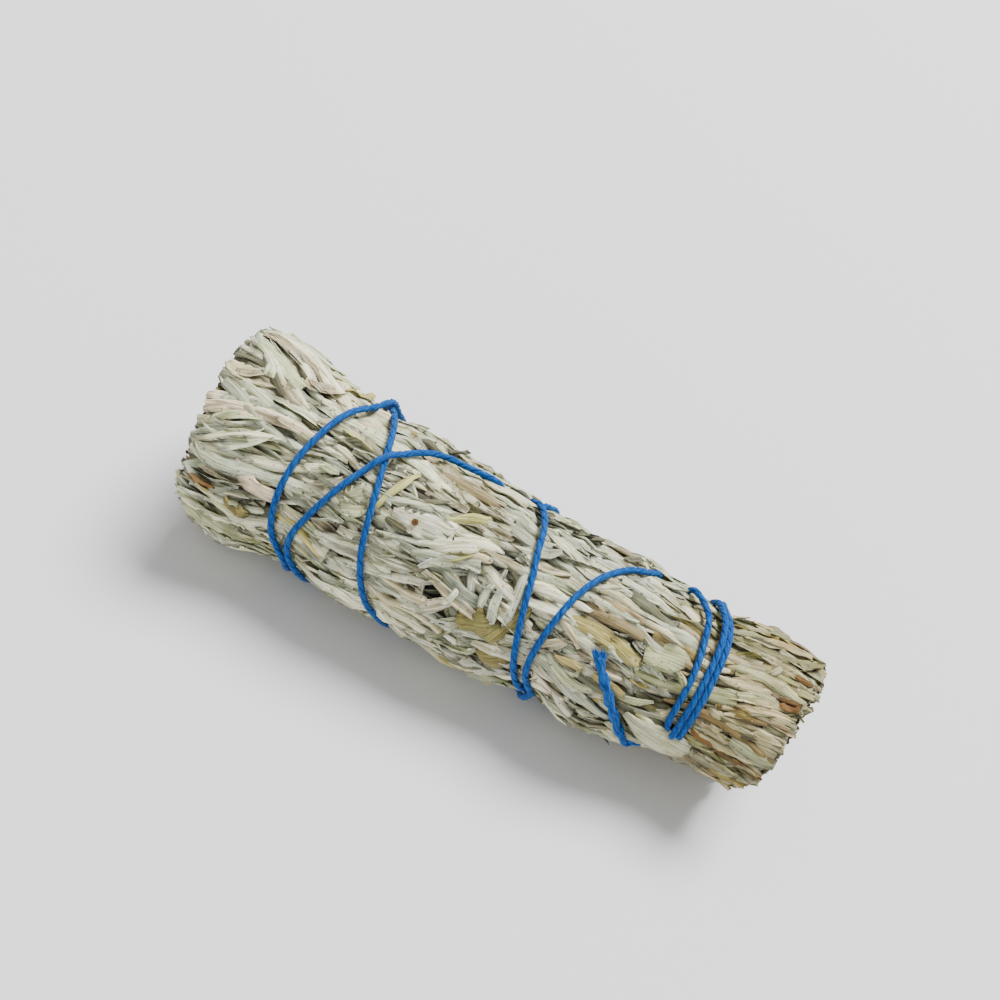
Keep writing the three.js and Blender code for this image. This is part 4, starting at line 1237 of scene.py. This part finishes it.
def heap_at(r, degrees, x):
    """The inner or outer sprig that holds a place, by its radius and degrees."""
    if r < INNER_RADIUS:
        return inner_heaps[int(degrees % 360 // INNER_DEGREES)]
    past = (degrees - sprig_line(0, x)) % 360
    return sprig_heaps[int(past // SPRIG_DEGREES) % OUTER_SPRIGS]


def end_plane(end, degrees):
    return broad_end(degrees) if end < 0 else tied_end(degrees)


def add_stem(end, r, degrees, seed):
    """A round stem, its rings in from the cut face: bark, then wood, then a sunk pith."""
    draw = np.random.default_rng(seed)
    radii = np.array([0.9, 1.0, 1.0, 0.93, 0.80, 0.42, 0.22, 0.05])
    radii = radii * STEM_RADIUS * draw.uniform(0.62, 1.1)
    set_back = np.array([STEM_DEPTH, 1.2, 0.15, 0.0, 0.03, 0.0, 0.18, 0.22])
    # The bark ring deepest in from the cut face is half as bright: painted shade where the stem
    # runs in among the leaves.
    tint = np.array([BARK_TINT * 0.5, BARK_TINT, BARK_TINT, BARK_TINT, WOOD_TINT, WOOD_TINT,
                     PITH_TINT * 0.8, PITH_TINT * 0.8])
    angle = 2 * np.pi * np.arange(STEM_SIDES) / STEM_SIDES
    flat = 1 + 0.07 * np.sin(2 * angle + draw.uniform(0, 6)) + 0.03 * np.sin(5 * angle)
    cut = 0.16 * np.sin(angle + draw.uniform(0, 6)) + 0.1 * np.sin(4 * angle + seed)
    face = end_plane(end, np.array(degrees)) + end * (STEM_OUT * draw.uniform(0.3, 1.0))
    middle = place(face, np.array(degrees), np.array(r))
    rings = np.empty((1, len(radii), STEM_SIDES, 3))
    shared = cut * np.clip(1 - set_back[:, None], 0, 1)
    rings[0, ..., 0] = middle[0] - end * set_back[:, None] + shared
    rings[0, ..., 1] = middle[1] - end * radii[:, None] * flat * np.cos(angle)
    rings[0, ..., 2] = middle[2] + radii[:, None] * flat * np.sin(angle)
    heap_at(r, degrees, face).add(rings, tint[None, :, None], np.array([[3.0, 1.0]]))


for end in (-1, 1):
    for k in range(INNER_SPRIGS):
        add_stem(end, INNER_STEM_AT, INNER_DEGREES * (k + 0.5), 11 * k + end + 5)
    for k in range(OUTER_SPRIGS):
        x_end = float(end_plane(end, np.array(float(SPRIG_DEGREES * k))))
        middle_line = float(sprig_line(k, x_end) + sprig_line(k + 1, x_end)) / 2
        add_stem(end, OUTER_STEM_AT[k % 2], middle_line, 17 * k + end + 90)


def add_strips(end, seed):
    """Leaves cut across: layer after layer round the bundle's middle, each strip is an arc of
    its layer, waved in and out by a sine, one strip thick, and run inwards along X."""
    draw = np.random.default_rng(seed)
    layers = np.arange(*STRIP_LAYERS, STRIP_LAYER)
    strips = (2 * np.pi * layers / STRIP_SPACING).astype(int)
    r = np.repeat(layers, np.maximum(STRIP_FEWEST, strips))
    count = len(r)
    degrees = draw.uniform(0, 360, count)
    edge = surface_radius(end_plane(end, degrees), degrees) - STRIP_RIM
    kept = r < edge
    r, degrees, count = r[kept], degrees[kept], int(kept.sum())
    half_turn = np.degrees(draw.uniform(*STRIP_LENGTH, count) / 2 / np.maximum(r, 2.2))
    side = np.linspace(-1, 1, STRIP_COLUMNS) * end
    round_at = degrees[:, None] + half_turn[:, None] * side
    wave = draw.uniform(0.05, 0.5, (count, 1)) * np.sin(
        draw.uniform(1.5, 4.0, (count, 1)) * side + draw.uniform(0, 6.28, (count, 1))
    )
    slope = draw.normal(0, 0.45, (count, 1)) * side
    middle = r[:, None] + draw.normal(0, 0.22, (count, 1)) + wave + slope
    half = STRIP_THICK / 2 * draw.uniform(0.7, 1.3, (count, 1)) * (1 - 0.7 * np.abs(side) ** 3)
    ring_r = np.concatenate([middle + half, (middle - half)[:, ::-1]], axis=1)
    ring_degrees = np.concatenate([round_at, round_at[:, ::-1]], axis=1)
    out_by = draw.uniform(*STRIP_OUT, (count, 1)) + 0.3 * np.sin(3 * side + r[:, None])
    out_by = np.concatenate([out_by, out_by[:, ::-1]], axis=1)
    inwards = np.array([STRIP_DEPTH, 0.5, 0.0])[:, None]
    x = end_plane(end, ring_degrees)[:, None] + end * (out_by[:, None] - inwards)
    rings = place(x, ring_degrees[:, None] + 0 * x, np.maximum(ring_r, 0.1)[:, None] + 0 * x)
    rings[..., 2] = np.maximum(rings[..., 2], 0.5 + 0.02 * (r % 7)[:, None, None])
    names = draw.choice(len(COLOR_NAMES), count, p=np.array(DRY_SHARES) / sum(DRY_SHARES))
    tint = LEAF_TINTS[names] * draw.uniform(0.62, 1.0, (count, 1))
    grain = np.zeros(rings.shape[:3] + (2,))
    grain[..., 0] = inwards + 29.0 * np.arange(count)[:, None, None]
    grain[..., 1] = np.concatenate([side, side[::-1]]) * 1.7
    held_by = [heap_at(*values) for values in zip(r, degrees, x[:, 0, 0])]
    for heap in sprig_heaps + inner_heaps:
        chosen = np.array([holder is heap for holder in held_by])
        if chosen.any():
            shade = tint[chosen][:, None, None] * np.ones(rings[chosen].shape)
            heap.add(rings[chosen], shade, grain[chosen])


for end in (-1, 1):
    add_strips(end, 404 + end)

for k, heap in enumerate(sprig_heaps):
    sprig = heap.piece(f"sprig_leaves_{k + 1:02d}", leaf_felt)
    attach(sprig, "root")
    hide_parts(f"sprig_outer_{k + 1:02d}")
for k, heap in enumerate(inner_heaps):
    sprig = heap.piece(f"sprig_middle_{k + 1}", leaf_felt)
    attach(sprig, "root")
    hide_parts(f"sprig_inner_{k + 1}")
